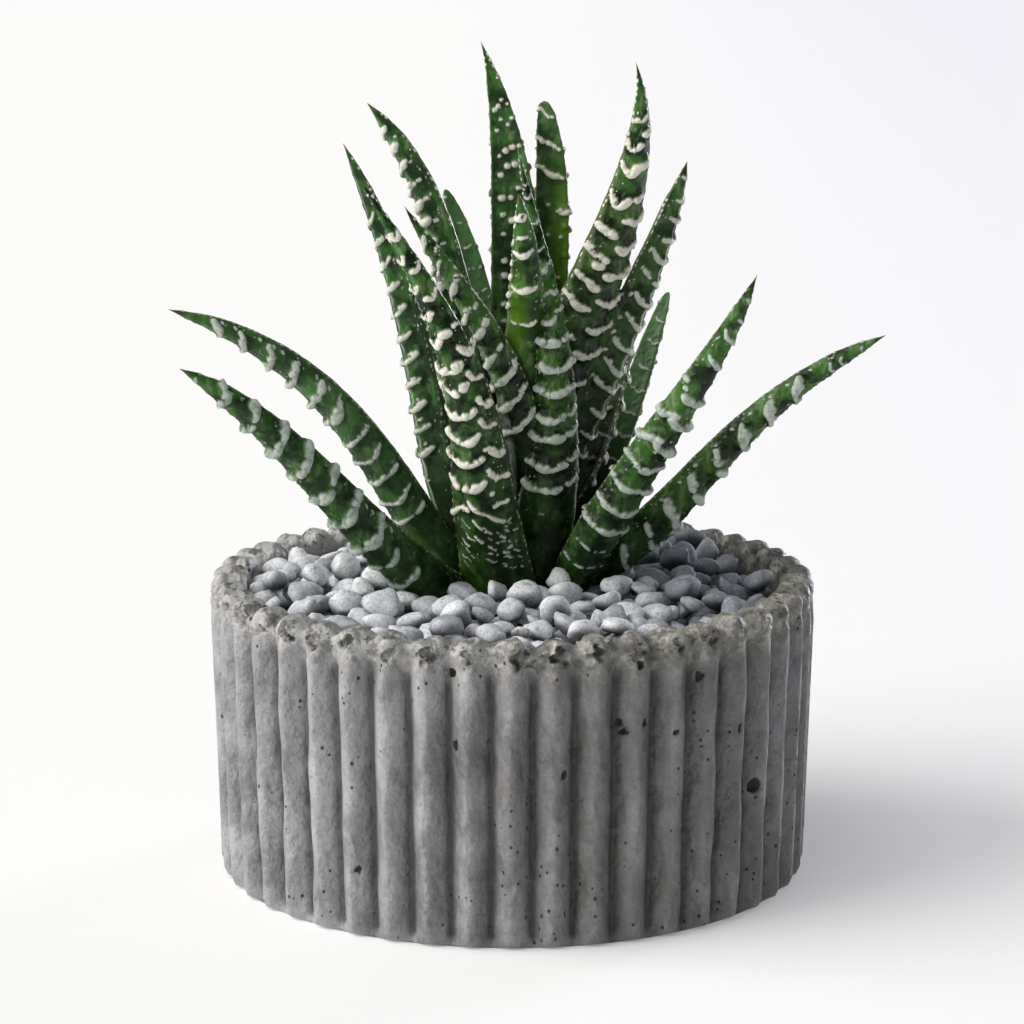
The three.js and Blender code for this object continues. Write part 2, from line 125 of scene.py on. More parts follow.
LEAVES = {
    "leaf_01": Leaf(
        ((-3.5, -2.5, 34.5), (-15.5, -13, 37.5), (-23, -20, 58.5), (-39, -26, 68)),
        6.4, 1.4, 0.55, -85, 0.75, dip=0.1, glow=0.1, glow_at=0.12, pale=0.12, cool=0.95,
        rows=(
            Row(12.8, 4.3, 2, -0.9, 0.3, 0.4, 0.7, 0.36),
            Row(21.5, 4.43, 7, -0.97, 0.86, 1.6, 0.8, 0.56, 0.7),
            Row(52.3, 3, 1, -0.9, -0.2, 0.4, 0.2, 0.4),
            Row(19.5, 1.35, 5, 0.72, 0.78, 0.3, 0, 0.2),
        ),
    ),
    "leaf_02": Leaf(
        ((-4, -1, 36), (-16, -6, 45), (-16, -9, 65), (-41.5, -13, 73)),
        5.6, 1.9, 0.7, -98, 0.75, dip=0.1, glow=0.25, glow_at=0.08, pale=0.35, cool=0.7,
        rows=(
            Row(14, 3.1, 5, -0.95, 0.72, 0.7, 0.5, 0.3, 0.4),
            Row(30, 3.75, 6, -0.95, 0.5, 1.3, 0.5, 0.5, 0.7),
            Row(31.8, 2.1, 9, 0.62, 0.7, 0.2, 0, 0.26, 0.2),
        ),
    ),
    "leaf_03": Leaf(
        ((4.5, -1.5, 35), (23, -7, 44.5), (22.5, -11, 58.5), (45, -14, 70)),
        5.7, 1.1, 0.53, -80, 0.75, olive=0.2, cool=0.8,
        rows=(
            Row(11.4, 4.4, 2, -0.3, 0.97, -2.4, 0.2, 0.36),
            Row(20, 4.55, 6, -0.42, 0.97, -2.2, 0.3, 0.54, 0.6),
            Row(47.6, 2.1, 3, -0.2, 0.5, -0.3, 0.2, 0.34, 0.2),
            Row(21, 3.1, 9, -0.72, -0.66, 0.2, 0, 0.2, 0.1),
        ),
    ),
    "leaf_04": Leaf(
        ((6.2, -4.5, 35), (13.5, -12, 52.5), (24.5, -19, 66.5), (28.8, -23, 78.7)),
        6.2, 1.3, 0.65, -85, 0.85, olive=0.1, cool=0.85,
        rows=(
            Row(6.6, 2.9, 2, -0.9, 0.85, 0.3, 0.4, 0.17, 0.1),
            Row(12.6, 3.55, 4, -0.96, 0.95, 0.0, 0.5, 0.4, 0.35),
            Row(27.3, 4.2, 2, -0.96, -0.12, 0.9, 0.3, 0.52, 0.6),
            Row(26.5, 3.85, 3, -0.1, 0.96, -0.5, 0.5, 0.52, 0.6),
            Row(35.6, 1, 1, -0.5, -0.38, 0, 0, 0.5, 0.2),
            Row(37, 1, 1, -0.85, -0.7, 0, 0, 0.4, 0.2),
            Row(40, 4.0, 2, -0.34, 0.95, -1.3, 0.2, 0.36, 0.3),
            Row(46.6, 2.2, 2, 0.3, 0.95, -0.4, 0.1, 0.32, 0.2),
        ),
    ),
    "leaf_05": Leaf(
        ((-1.5, -6.5, 35), (-6.8, -13, 62), (-0.8, -16, 61), (-18, -19, 89.5)),
        10, 1.15, 1.05, -105, 0.95, olive=0.15, glow=0.1, glow_at=0.1, cool=0.1, shade=0.2, keel=0.4,
        rows=(
            Row(6.0, 1.1, 5, -0.8, -0.35, -1.0, 0.1, 0.1, 0.1),
            Row(6.6, 1.5, 4, 0.1, 0.5, -1.2, 0.1, 0.1, 0.1),
            Row(5.6, 1.2, 6, 0.5, 0.9, -0.8, 0.1, 0.11, 0.1),
            Row(7.4, 1.4, 4, -0.7, -0.2, -1.4, 0.1, 0.1, 0.1),
            Row(9.2, 2.3, 2, -0.35, 0.62, -3.4, 0.2, 0.16, 0.15),
            Row(8.6, 3.0, 2, 0.5, 0.9, 0.2, 0.3, 0.17, 0.1),
            Row(13.8, 1, 1, -0.94, -0.3, 1.4, -0.3, 0.34, 0.4),
            Row(13.6, 1, 1, -0.3, 0.6, -3.0, 0.3, 0.26, 0.3),
            Row(17.0, 3.26, 6, -0.95, 0.3, 0.1, 1.0, 0.42, 0.7),
            Row(36.6, 3.6, 5, -0.92, -0.2, 0.2, 0.7, 0.4, 0.5),
            Row(34.1, 4.0, 2, 0.12, 0.26, 0, 0, 0.5, 0.3),
            Row(14.4, 1, 1, 0.45, 0.75, 0.3, 0.1, 0.34, 0.1),
            Row(18.4, 3.3, 6, 0.5, 0.88, -0.9, 0.5, 0.42, 0.3),
            Row(16.4, 3.3, 3, 0.42, 0.46, 0.1, 0, 0.3, 0.2),
            Row(39, 1, 1, 0.72, 0.78, 0, 0, 0.42, 0.2),
            Row(42.7, 3.9, 3, 0.05, 0.8, 0.5, 0.4, 0.42, 0.4),
        ),
    ),
    "leaf_06": Leaf(
        ((3, -4.5, 37.5), (7, -10, 64), (5.5, -12, 70), (0.5, -7, 92.5)),
        9.4, 1, 1.1, -88, 0.8, olive=0.1, cool=0.75, shade=0.58, keel=0.35,
        rows=(
            Row(10, 1, 1, -0.5, 0.1, 0.3, 0.2, 0.14, 0.1),
            Row(13, 3.1, 4, -0.86, 0.36, 0.2, 0.5, 0.44, 0.4),
            Row(25.4, 3.05, 3, -0.86, 0.86, 0.4, 0.7, 0.46, 0.5),
            Row(34.4, 3.0, 3, -0.9, 0.3, 0.1, 0.5, 0.34, 0.4),
            Row(14, 3.15, 4, 0.52, 0.88, 0.7, 0.4, 0.32, 0.2),
            Row(34.8, 3.1, 3, 0.45, 0.85, 0.3, 0.2, 0.34, 0.2),
            Row(43.2, 2.8, 4, -0.7, 0.6, 0.1, 0.3, 0.26, 0.3),
        ),
    ),
    "leaf_07": Leaf(
        ((-3.5, -0.5, 38.5), (-12.8, -4, 46), (-7.6, -5, 64), (-20.5, -6, 92.3)),
        5.2, 2.2, 0.65, -130, 0.7, glow=0.3, glow_at=0.2, pale=0.25, cool=0.35, shade=0.1, keel=0.75,
        rows=(
            Row(13.8, 3, 1, -0.8, 0.0, 0.3, 0.2, 0.16, 0.1),
            Row(17, 3.03, 11, -0.97, 0.42, 1.5, 0.3, 0.33, 0.45),
            Row(18.6, 3.03, 5, 0.1, 0.16, 0.1, 0, 0.2, 0.1),
        ),
    ),
    "leaf_08": Leaf(
        ((0.5, -3, 44), (4.5, -10, 63), (-6.5, -12, 74), (-13, -12, 85.5)),
        6.2, 1.5, 0.8, -120, 0.55, olive=0.1, cool=0.45, shade=0.72, keel=0.45,
        rows=(
            Row(14.2, 3.3, 9, -0.97, 0.28, 1.8, 0.1, 0.4, 0.4),
            Row(16.0, 3.25, 3, 0.4, 0.9, 1.4, 0.3, 0.36, 0.3),
            Row(25.7, 3.25, 5, 0.55, 0.72, 0.3, 0, 0.42, 0.3),
        ),
    ),
    "leaf_09": Leaf(
        ((0.5, -1, 46), (0.7, -4, 60), (2.8, -13, 74), (0.8, -16, 87.3)),
        6.2, 1.8, 0.6, -95, 0.5, glow=0.75, glow_at=0.6, cool=0.2, shade=0.6, keel=0.2,
        rows=(
            Row(27.2, 1, 1, -0.6, 0.5, 0.3, 0.3, 0.22, 0.2),
            Row(31.9, 4.4, 3, -0.72, 0.6, 0.3, 0.3, 0.38, 0.5),
            Row(29, 2.2, 7, -0.92, -0.84, 0.5, 0, 0.3, 0.2),
            Row(38.6, 2.9, 2, -0.3, 0.3, 0.1, 0, 0.3, 0.2),
        ),
    ),
    "leaf_10": Leaf(
        ((2, 0, 44), (1.3, -1, 60), (20, -6, 86.5), (14.7, -10, 102.7)),
        9.2, 2.3, 1.05, -62, 0.45, olive=0.25, cool=0.1, shade=0.7, keel=0.25,
        rows=(
            Row(22.4, 3.5, 2, -0.9, -0.3, -0.8, 0.4, 0.3, 0.4),
            Row(29.4, 3.5, 4, -0.95, -0.3, -1.0, 0.2, 0.44, 0.3),
            Row(43.3, 3.6, 3, -0.96, -0.2, -0.4, 1.1, 0.44, 0.3),
            Row(54, 1, 1, -0.9, 0.2, 0.5, 0.3, 0.4, 0.4),
            Row(56.6, 1, 1, 0.4, 0.6, 0, 0, 0.3, 0.2),
            Row(12.8, 3.6, 3, -0.2, 0.9, 0.6, 0.5, 0.3, 0.3),
            Row(23.6, 3.57, 6, -0.1, 0.82, 0.9, 0.5, 0.44, 0.35),
            Row(35.5, 3.6, 2, -0.56, -0.42, 0, 0, 0.5, 0.2),
            Row(44.6, 4.1, 3, 0.1, 0.4, 0.4, 0, 0.46, 0.3),
        ),
    ),
    "leaf_11": Leaf(
        ((3, 0, 42), (8.5, -1, 57.5), (18, -1, 74.5), (21.5, -1, 89.5)),
        7.1, 1.9, 0.57, -45, 0.5, olive=0.4, pale=0.2, cool=0.35, shade=0.75, keel=0.7,
        rows=(
            Row(12, 2.9, 3, -0.3, 0.95, -0.5, 0.4, 0.26, 0.3),
            Row(20.8, 2.95, 7, -0.58, 0.95, -0.9, 0.8, 0.32, 0.5),
            Row(41, 2.6, 4, -0.3, 0.9, 0.2, 0.2, 0.34, 0.3),
            Row(21.6, 3.0, 7, -0.76, -0.7, 0.2, 0, 0.24, 0.1),
        ),
    ),
    "leaf_12": Leaf(
        ((-1.5, 1, 44), (-8, 0, 62.5), (-5, 1, 81.5), (-17.8, 1, 96.4)),
        5.7, 2.2, 0.5, -130, 0.5, pale=0.25, cool=0.2, shade=0.6, keel=0.6,
        rows=(
            Row(8, 3.1, 7, -0.95, 0.3, 1.2, 0.2, 0.34, 0.4),
            Row(30.4, 2.6, 9, -0.97, 0.16, 1.2, 0.2, 0.46, 0.5),
            Row(31.4, 2.6, 8, 0.4, 0.52, 0, 0, 0.26, 0.1),
        ),
    ),
    "leaf_13": Leaf(
        ((0, 1.5, 46), (1.5, 3, 62), (1.5, 4, 91), (-4, 4, 104)),
        7.7, 2.9, 1.1, 95, 0.45, glow=0.1, pale=0.2, cool=0.2, shade=0.5, keel=0.3,
        rows=PLAIN_ROWS + (
            Row(22.4, 2.55, 12, -0.38, -0.3, 0, 0, 0.36, 0.1, True),
            Row(21.5, 2.9, 11, 0.08, 0.16, 0, 0, 0.38, 0.1, True),
            Row(23, 2.7, 11, 0.5, 0.58, 0, 0, 0.36, 0.1, True),
            Row(20, 2.8, 13, -0.82, -0.76, 0, 0, 0.28, 0.1, True),
        ),
    ),
    "leaf_14": Leaf(
        ((2, 2, 45), (3, 5, 62), (7, 6, 80), (4, 7, 96)),
        4.7, 4, 0.4, 80, 0.5, olive=0.2, glow=0.9, glow_at=0.66, pale=0.2, cool=0.15, shade=0.5,
        blunt=True,
        rows=PLAIN_ROWS + (
            Row(42.6, 3.65, 3, -0.75, 0.94, 1.7, 0.1, 0.36, 0.2, True),
            Row(37.8, 1, 1, -0.95, -0.35, 0.2, 0.1, 0.34, 0.2, True),
            Row(27, 3.9, 4, 0.16, 0.24, 0, 0, 0.26, 0.1, True),
            Row(25.2, 4.1, 4, -0.6, -0.54, 0, 0, 0.24, 0.1, True),
            Row(24, 3.5, 5, 0.86, 0.92, 0, 0, 0.26, 0.1, True),
        ),
    ),
    "leaf_15": Leaf(
        ((-1.5, 2.5, 43), (-2, 8, 56), (-3.5, 12, 72), (-8.5, 15, 84)),
        5.2, 1.7, 0.5, 110, 0.5, pale=0.9, cool=0.6, shade=0.5, blunt=True,
        rows=PLAIN_ROWS + (
            Row(24, 3.0, 6, -0.8, 0.8, 0.2, 0.3, 0.16, 0.1, True),
        ),
    ),
    "leaf_16": Leaf(
        ((-3, 2, 40), (-3.5, 6, 51), (-8, 9, 61.5), (-13, 12, 70.5)),
        5.5, 1.8, 0.7, 135, 0.5, pale=0.8, glow=0.3, shade=0.5,
        rows=PLAIN_ROWS + (
            Row(14, 3.0, 6, -0.85, 0.85, 0.2, 0.3, 0.2, 0.2, True),
        ),
    ),
    "leaf_17": Leaf(
        ((4.5, 2, 39), (13.6, 7, 48.5), (15, 11, 57.5), (20, 14, 71)),
        4, 1.9, 0.45, 60, 0.6, pale=1.0, cool=0.6, shade=0.5, blunt=True,
        rows=PLAIN_ROWS + (
            Row(15, 3.2, 7, -0.9, 0.3, 0.3, 0.2, 0.2, 0.2, True),
        ),
    ),
    "leaf_18": Leaf(
        ((3.5, 2, 42), (13, 5, 51), (13.5, 7, 64), (17, 8, 76)),
        6, 1.8, 0.7, 30, 0.5, olive=0.3, shade=0.7,
        rows=PLAIN_ROWS + (
            Row(12, 3.1, 8, -0.9, 0.9, 0.3, 0.3, 0.26, 0.3, True),
        ),
    ),
    "leaf_19": Leaf(
        ((-1, 4, 37), (-2, 12, 50), (-3, 22, 60), (-5, 33, 65)),
        6.4, 1.6, 0.65, 100, 0.6, dip=0.2, rows=PLAIN_ROWS,
    ),
    "leaf_20": Leaf(
        ((2.5, 3.5, 41), (5, 10, 56), (8, 18, 68), (11, 26, 76)),
        6, 1.6, 0.65, 65, 0.5, rows=PLAIN_ROWS,
    ),
    "leaf_21": Leaf(
        ((-3.5, 3, 37.5), (-8, 9, 50), (-9, 18, 60), (-11, 27, 65)),
        6, 1.6, 0.65, 125, 0.6, dip=0.1, olive=0.2, rows=PLAIN_ROWS,
    ),
    "leaf_22": Leaf(
        ((4.5, 3, 37), (10, 9, 47), (13, 17, 56), (17, 26, 60)),
        6, 1.6, 0.65, 45, 0.6, dip=0.2, rows=PLAIN_ROWS,
    ),
    "leaf_23": Leaf(
        ((0.5, 3, 44), (1.5, 7, 60), (2, 12, 75), (3, 18, 84)),
        6.5, 1.6, 0.65, 88, 0.5, olive=0.2, rows=PLAIN_ROWS,
    ),
}

NECK_LENGTH = 0.3  # share of a leaf's length over which its base widens
SEAT = 0.4  # share of a leaf's half-width that its section is set back from the guide curve
LAST_SECTION = 0.996  # share of the length at the last section before the point
POINT_START = 0.88  # share of the length where the blade starts to draw in to its point
POINT_PULL = 0.7  # how far the blade draws in there

# ---------------------------------------------------------------- settings


def srgb(code):
    """A #rrggbb colour as the linear numbers that Blender's shaders take."""
    channels = [int(code[i:i + 2], 16) / 255 for i in (1, 3, 5)]
    linear = [c / 12.92 if c <= 0.04045 else ((c + 0.055) / 1.055) ** 2.4 for c in channels]
    return (*linear, 1.0)


def colour(name, description, code):
    """A colour property with its default given in sRGB."""
    return FloatVectorProperty(
        name=name, description=description, subtype="COLOR", size=4, min=0, max=1, default=srgb(code)
    )


def length(name, description, millimetres):
    """A distance property with its default given in millimetres."""
    return FloatProperty(
        name=name, description=description, subtype="DISTANCE", unit="LENGTH", min=0, precision=5,
        default=millimetres * MM,
    )


def amount(name, description, default, **more):
    """A plain number property."""
    return FloatProperty(name=name, description=description, default=default, min=0, **more)


class HAWORTHIA_PG_pot(bpy.types.PropertyGroup):
    """Sizes and colours of the concrete pot."""

    ribs: IntProperty(name="Ribs", description="Number of ribs round the pot", default=46, min=3)
    rib_depth: length("Rib depth", "Height of a rib over the valley beside it", 2.15)
    notch: length("Notch depth", "Dip between two rounded rib ends on the rim", 1.2)
    wall: length("Wall", "Thickness of the wall at the rim", 4.8)
    floor: length("Floor", "Thickness of the floor", 4.0)
    wear: length("Wear", "How far the rim is worn and chipped", 0.5)
    pits: length("Pit depth", "Depth of the air holes in the wall", 0.6)
    grey: colour("Concrete", "Main colour of the dry concrete", "#a6a6aa")
    dark: colour("Damp patches", "Colour of the darker patches", "#7a7a7e")
    # stain colour of the rim with painted shade: the lip turns to it on the shaded right side of the pot
    stained_shaded_rim: colour("Worn rim", "Colour of the worn and stained rim", "#807f76")


class HAWORTHIA_PG_gravel(bpy.types.PropertyGroup):
    """Sizes and colours of the pebbles."""

    count: IntProperty(name="Pebbles", description="Number of pebbles in the pot", default=770, min=1)
    small: length("Smallest", "Half the length of the smallest pebble", 1.2)
    large: length("Largest", "Half the length of the largest pebble", 2.7)
    bed: length("Bed", "Height that the lowest pebbles lie on", 30.8)
    light: colour("Light stone", "Colour of the lightest pebbles", "#ebeef2")
    dark: colour("Dark stone", "Colour of the darkest pebbles", "#868d96")


class HAWORTHIA_PG_leaves(bpy.types.PropertyGroup):
    """Sizes and colours of the leaves."""

    step: length("Detail", "Distance between the points of a leaf's surface", 0.17)
    relief: amount("Relief", "Height of a wax band as a share of its half-thickness", 0.55)
    shelf: amount("Shelf", "How far a wax band leans towards the base, as a share of its height", 0.3)
    cushion: amount("Cushion", "Swelling of the skin under a band as a share of its half-thickness", 0.8)
    green: colour("Green", "Colour of the leaves", "#376823")
    deep: colour("Deep green", "Colour of the darker parts of the leaves", "#081e05")
    olive: colour("Olive", "Colour of the sun-browned parts", "#404322")
    lime: colour("Lime", "Colour of the young parts near the base", "#5c8a1c")
    # lime of the young flesh, painted as the glow of light shining through it
    pale: colour("Pale green", "Colour of the soft light leaves", "#5c8555")
    tip: colour("Dry tip", "Colour of the dried tips", "#6b4630")
    wax: colour("Wax", "Colour of the bands and beads", "#efece0")
    glassy: colour("Glassy wax", "Colour of the bands where green shows through", "#b2c0b8")


class HAWORTHIA_PG_stage(bpy.types.PropertyGroup):
    """Camera and light."""

    distance: length("Camera distance", "How far the camera stands in front of the plant", 455)
    height: length("Camera height", "How high the camera stands", 142)
    pitch: amount(
        "Camera pitch", "How far the camera looks down", math.radians(12.0), subtype="ANGLE"
    )
    lens: amount("Lens", "Focal length in mm", 130.5)
    key: amount("Key light", "Strength of the light from the left", 1.0)
    spread: amount(
        "Key spread", "How wide the light from the left is", math.radians(60), subtype="ANGLE"
    )
    side: amount("Side light", "Strength of the low light from the left", 3.4)
    edge: amount("Edge light", "Strength of the low light from behind", 1.9)
    top: amount("Top light", "Strength of the wide light overhead", 0.6)
    fill: amount("Fill light", "Strength of the light from all round", 0.07)
    floor: colour("Floor", "Colour of the floor", "#edeeed")
    table: amount("Light table", "Strength of the light from within the floor", 0.2)


# ---------------------------------------------------------------- helpers

MATH = "ShaderNodeMath"


def add_node(tree, kind, inputs=(), **settings):
    """Adds a node, sets its settings, gives inputs a value or a link each, and returns its outputs."""
    node = tree.nodes.new(kind)
    for name, value in settings.items():
        setattr(node, name, value)
    for key, value in inputs.items() if isinstance(inputs, dict) else enumerate(inputs):
        if isinstance(value, bpy.types.NodeSocket):
            tree.links.new(value, node.inputs[key])
        else:
            node.inputs[key].default_value = value
    return node.outputs


def share_of(tree, *factors):
    """The product of factors: numbers, values, or values with the limits that they fade between."""
    total = None
    for factor in factors:
        if isinstance(factor, tuple):
            factor = add_node(tree, "ShaderNodeMapRange", factor, interpolation_type="SMOOTHSTEP")[0]
        if total is None:
            total = factor
        else:
            total = add_node(tree, MATH, [total, factor], operation="MULTIPLY")[0]
    return total


def new_tree(name, inputs):
    """A geometry tree with named inputs. Returns it with their sockets."""
    tree = bpy.data.node_groups.new(name, "GeometryNodeTree")
    tree.interface.new_socket(name="Geometry", in_out="OUTPUT", socket_type="NodeSocketGeometry")
    for label, kind in inputs.items():
        tree.interface.new_socket(name=label, in_out="INPUT", socket_type="NodeSocket" + kind)
    return tree, tree.nodes.new("NodeGroupInput").outputs


def end_tree(tree, geometry, material):
    """Ends a tree: real geometry, smooth, in its material."""
    real = add_node(tree, "GeometryNodeRealizeInstances", [geometry])[0]
    smooth = add_node(tree, "GeometryNodeSetShadeSmooth", [real])[0]
    painted = add_node(tree, "GeometryNodeSetMaterial", {"Geometry": smooth, "Material": material})[0]
    add_node(tree, "NodeGroupOutput", [painted])


def apply_tree(piece, tree, values):
    """Runs a geometry tree on a piece and keeps the result as its plain mesh."""
    modifier = piece.modifiers.new(tree.name, "NODES")
    modifier.node_group = tree
    for item in tree.interface.items_tree:
        if item.item_type == "SOCKET" and item.in_out == "INPUT" and item.name in values:
            modifier[item.identifier] = values[item.name]
    piece.update_tag()
    view = bpy.context.evaluated_depsgraph_get()
    view.update()
    mesh = bpy.data.meshes.new_from_object(
        piece.evaluated_get(view), preserve_all_data_layers=True, depsgraph=view
    )
    piece.modifiers.clear()
    mesh.name = piece.name
    piece.data = mesh
    return piece


def new_piece(name, points, faces, edges=(), link=True):
    """An object made from points, in metres, and faces or edges."""
    mesh = bpy.data.meshes.new(name)
    mesh.from_pydata(points, edges, faces)
    mesh.update()
    piece = bpy.data.objects.new(name, mesh)
    if link:
        bpy.context.scene.collection.objects.link(piece)
    return piece


def store(piece, name, values, kind="FLOAT"):
    """Stores a value for each point of a piece."""
    field = "vector" if kind == "FLOAT_VECTOR" else "value"
    attribute = piece.data.attributes.new(name, kind, "POINT")
    attribute.data.foreach_set(field, np.ascontiguousarray(values, np.float32).ravel())


def discard(*pieces):
    """Removes helper objects that aren't part of the model."""
    for piece in pieces:
        bpy.data.objects.remove(piece)


def finish_piece(piece, slot, *nodes):
    """Ties a finished piece to the frame in place of its solids."""
    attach(piece, "root")
    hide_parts(*nodes)


def ring_faces(rings, columns):
    """Quads between rings of points, and fans to two last points that close the ends."""
    ring = np.arange(rings - 1)[:, None] * columns
    column = np.arange(columns)[None, :]
    following = (column + 1) % columns
    quads = np.stack(
        [ring + column, ring + following, ring + following + columns, ring + column + columns], -1
    )
    faces = quads.reshape(-1, 4).tolist()
    first, last = rings * columns, rings * columns + 1
    top = (rings - 1) * columns
    for i in range(columns):
        j = (i + 1) % columns
        faces.append([first, j, i])
        faces.append([last, top + i, top + j])
    return faces


# ---------------------------------------------------------------- materials


class Pattern(NamedTuple):
    """A noise pattern on a surface, by the real size of its blobs."""

    size: float  # in mm
    detail: float = 4
    roughness: float = 0.6
    up: float = 1  # below 1 it is drawn out upwards
    sideways: float = 1


def new_material(name, **values):
    """A material with its main shader, whose own sockets are set by name."""
    material = bpy.data.materials.new(name)
    material.use_nodes = True
    shader = material.node_tree.nodes["Principled BSDF"]
    for key, value in values.items():
        shader.inputs[key.replace("_", " ")].default_value = value
    return material, material.node_tree, shader


def join(tree, shader, **results):
    """Links results to the shader's sockets by name."""
    for key, value in results.items():
        tree.links.new(value, shader.inputs[key.replace("_", " ")])


def surface(tree, *names):
    """Where a point of the piece lies, and the values that are stored there."""
    place = add_node(tree, "ShaderNodeTexCoord")["Object"]
    return place, {
        name: add_node(tree, "ShaderNodeAttribute", attribute_name=name)["Fac"] for name in names
    }


def lay_patterns(tree, place, **patterns):
    """The values of noise patterns over a surface, by name."""
    values = {}
    for name, pattern in patterns.items():
        stretch = (pattern.sideways, pattern.sideways, pattern.up)
        spread = add_node(
            tree, "ShaderNodeMapping",
            {"Vector": place, "Scale": [share / (pattern.size * MM) for share in stretch]},
        )[0]
        values[name] = add_node(
            tree, "ShaderNodeTexNoise",
            {"Vector": spread, "Scale": 1.0, "Detail": pattern.detail, "Roughness": pattern.roughness},
        )[0]
    return values


def lay_tones(tree, tone, *layers):
    """Lays colours over a tone. Each layer is a colour and the factors of its share."""
    for over, *factors in layers:
        share = share_of(tree, *factors)
        tone = add_node(tree, "ShaderNodeMix", {0: share, 6: tone, 7: over}, data_type="RGBA")[2]
    return tone


def concrete_material(look):
    """Cast concrete: dry, matt, cloudy grey with small air holes and a worn, stained rim, and painted
    shade in the rib valleys, the air holes, the hollows under the rim and over the right side.
    """
    material, tree, shader = new_material("cast_concrete", IOR=1.5, Specular_IOR_Level=0.55)
    add = partial(add_node, tree)
    share = partial(share_of, tree)
    place, reads = surface(tree, "rim", "pit", "valley", "chip", "cavity")
    noise = lay_patterns(
        tree, place,
        clouds=Pattern(9),
        streaks=Pattern(4, up=0.15),
        smears=Pattern(1.6, 5, 0.65, 0.4),
        swirls=Pattern(2.6, 2, 0.5),
        grime=Pattern(6, up=0.5),
        grain=Pattern(0.5, roughness=0.7),
        stain=Pattern(2.4),
        fresh=Pattern(1.5, 3),
        specks=Pattern(0.6, 3, 0.65),
        gather=Pattern(10, 2, 0.5),
        polish=Pattern(3, up=0.5),
        wave=Pattern(3, 3, 0.5, 0.8),
    )
    sideways, _, height = add("ShaderNodeSeparateXYZ", [place])
    shaded_side = share((sideways, -26 * MM, 22 * MM))  # painted shade: the right side of the pot, away from the light, is painted darker and browner

    # fine air holes, of which more open low on the front and right
    cell = [side / (0.9 * MM) for side in (1, 1, 0.85)]
    cells = add("ShaderNodeMapping", {"Vector": place, "Scale": cell})[0]
    holes = add("ShaderNodeTexVoronoi", {"Vector": cells, "Scale": 1.0, "Randomness": 1.0})
    chosen = add("ShaderNodeSeparateColor", [holes["Color"]])[0]
    low_side = share((height, 26 * MM, 8 * MM, 0.0, 0.22), (sideways, -14 * MM, 6 * MM, 0.2, 1.0))
    gather = share((noise["gather"], 0.42, 0.6, 0.2, -0.1))
    gather = add(MATH, [gather, low_side], operation="SUBTRACT")[0]
    reach = share((add(MATH, [chosen, gather], operation="SUBTRACT")[0], 0.58, 1.1, 0.0, 0.27))
    hole = add(MATH, [reach, holes["Distance"]], operation="SUBTRACT")[0]
    hole = share((hole, 0.0, 0.06))
    opened = add(MATH, [share(hole, 0.9), share((reads["pit"], 0.15, 0.5))], operation="MAXIMUM")[0]

    # stains on the rim, and dirt and painted shade in its chips and in the rotted hollows under the rib
    # ends
    dirt_and_shade = share(reads["rim"], (noise["stain"], 0.52, 0.64, 0, 0.7))
    dirt_and_shade = add(MATH, [dirt_and_shade, share(reads["chip"], 0.6)], operation="MAXIMUM")[0]
    hollow = share((reads["cavity"], 0.1, 0.9), (noise["fresh"], 0.38, 0.58, 1.0, 0.4))
    dirt_and_shade = add(MATH, [dirt_and_shade, hollow], operation="MAXIMUM")[0]

    swirls = add(MATH, [noise["swirls"], 0.5], operation="SUBTRACT")[0]
    swirls = add(MATH, [swirls], operation="ABSOLUTE")[0]
    # painted shade: the lip is light grey on the lit left side and turns darker and stained on the shaded
    # right
    lip = lay_tones(tree, srgb("#adadac"), (look.stained_shaded_rim, shaded_side))
    tone = lay_tones(
        tree, look.dark,
        (look.grey, (noise["clouds"], 0.36, 0.66)),
        (srgb("#bcbcbf"), (noise["streaks"], 0.42, 0.66), 0.35),
        # the smears and grime are painted thicker on the shaded right side, and that whole side is painted
        # darker as shade
        (srgb("#606060"), (noise["smears"], 0.42, 0.64), (shaded_side, 0, 1, 0.2, 0.6)),
        (srgb("#b9b9b9"), (swirls, 0.0, 0.03, 0.2, 0.0)),
        (srgb("#5f5c52"), (noise["grime"], 0.42, 0.65), (shaded_side, 0, 1, 0.12, 0.75)),
        (srgb("#646463"), shaded_side, 0.55),
        (srgb("#5a5956"), (noise["grain"], 0.5, 0.72, 0, 0.45)),
        # painted shade in the valleys between the ribs
        (srgb("#302f2b"), (reads["valley"], 0.5, 1.0, 0.0, 0.8)),
        (lip, reads["rim"], (noise["stain"], 0.2, 0.55, 0.35, 0.95)),
        (srgb("#cbcac2"), reads["rim"], (noise["fresh"], 0.48, 0.62, 0, 0.55)),
        # stains, dirt and painted shade in the chips and the hollows under the rim
        (srgb("#1e1b15"), dirt_and_shade),
        (srgb("#45433c"), (noise["specks"], 0.54, 0.64, 0, 0.55), reads["rim"]),
        # painted shade in the air holes
        (srgb("#171512"), opened),
    )
    polish = share((noise["polish"], 0.4, 0.62, 0.62, 0.36))
    worn = share((reads["rim"], 0.3, 1.0, 0.6, 0.4))
    rough = add(MATH, [polish, worn], operation="MINIMUM")[0]
    relief = add(MATH, [share(noise["grain"], 0.5), hole], operation="SUBTRACT")[0]
    bump = add("ShaderNodeBump", {"Height": relief, "Strength": 0.8, "Distance": 0.4 * MM})[0]
    wave = {"Height": noise["wave"], "Strength": 0.75, "Distance": 1.7 * MM, "Normal": bump}
    join(tree, shader, Base_Color=tone, Roughness=rough, Normal=add("ShaderNodeBump", wave)[0])
    return material


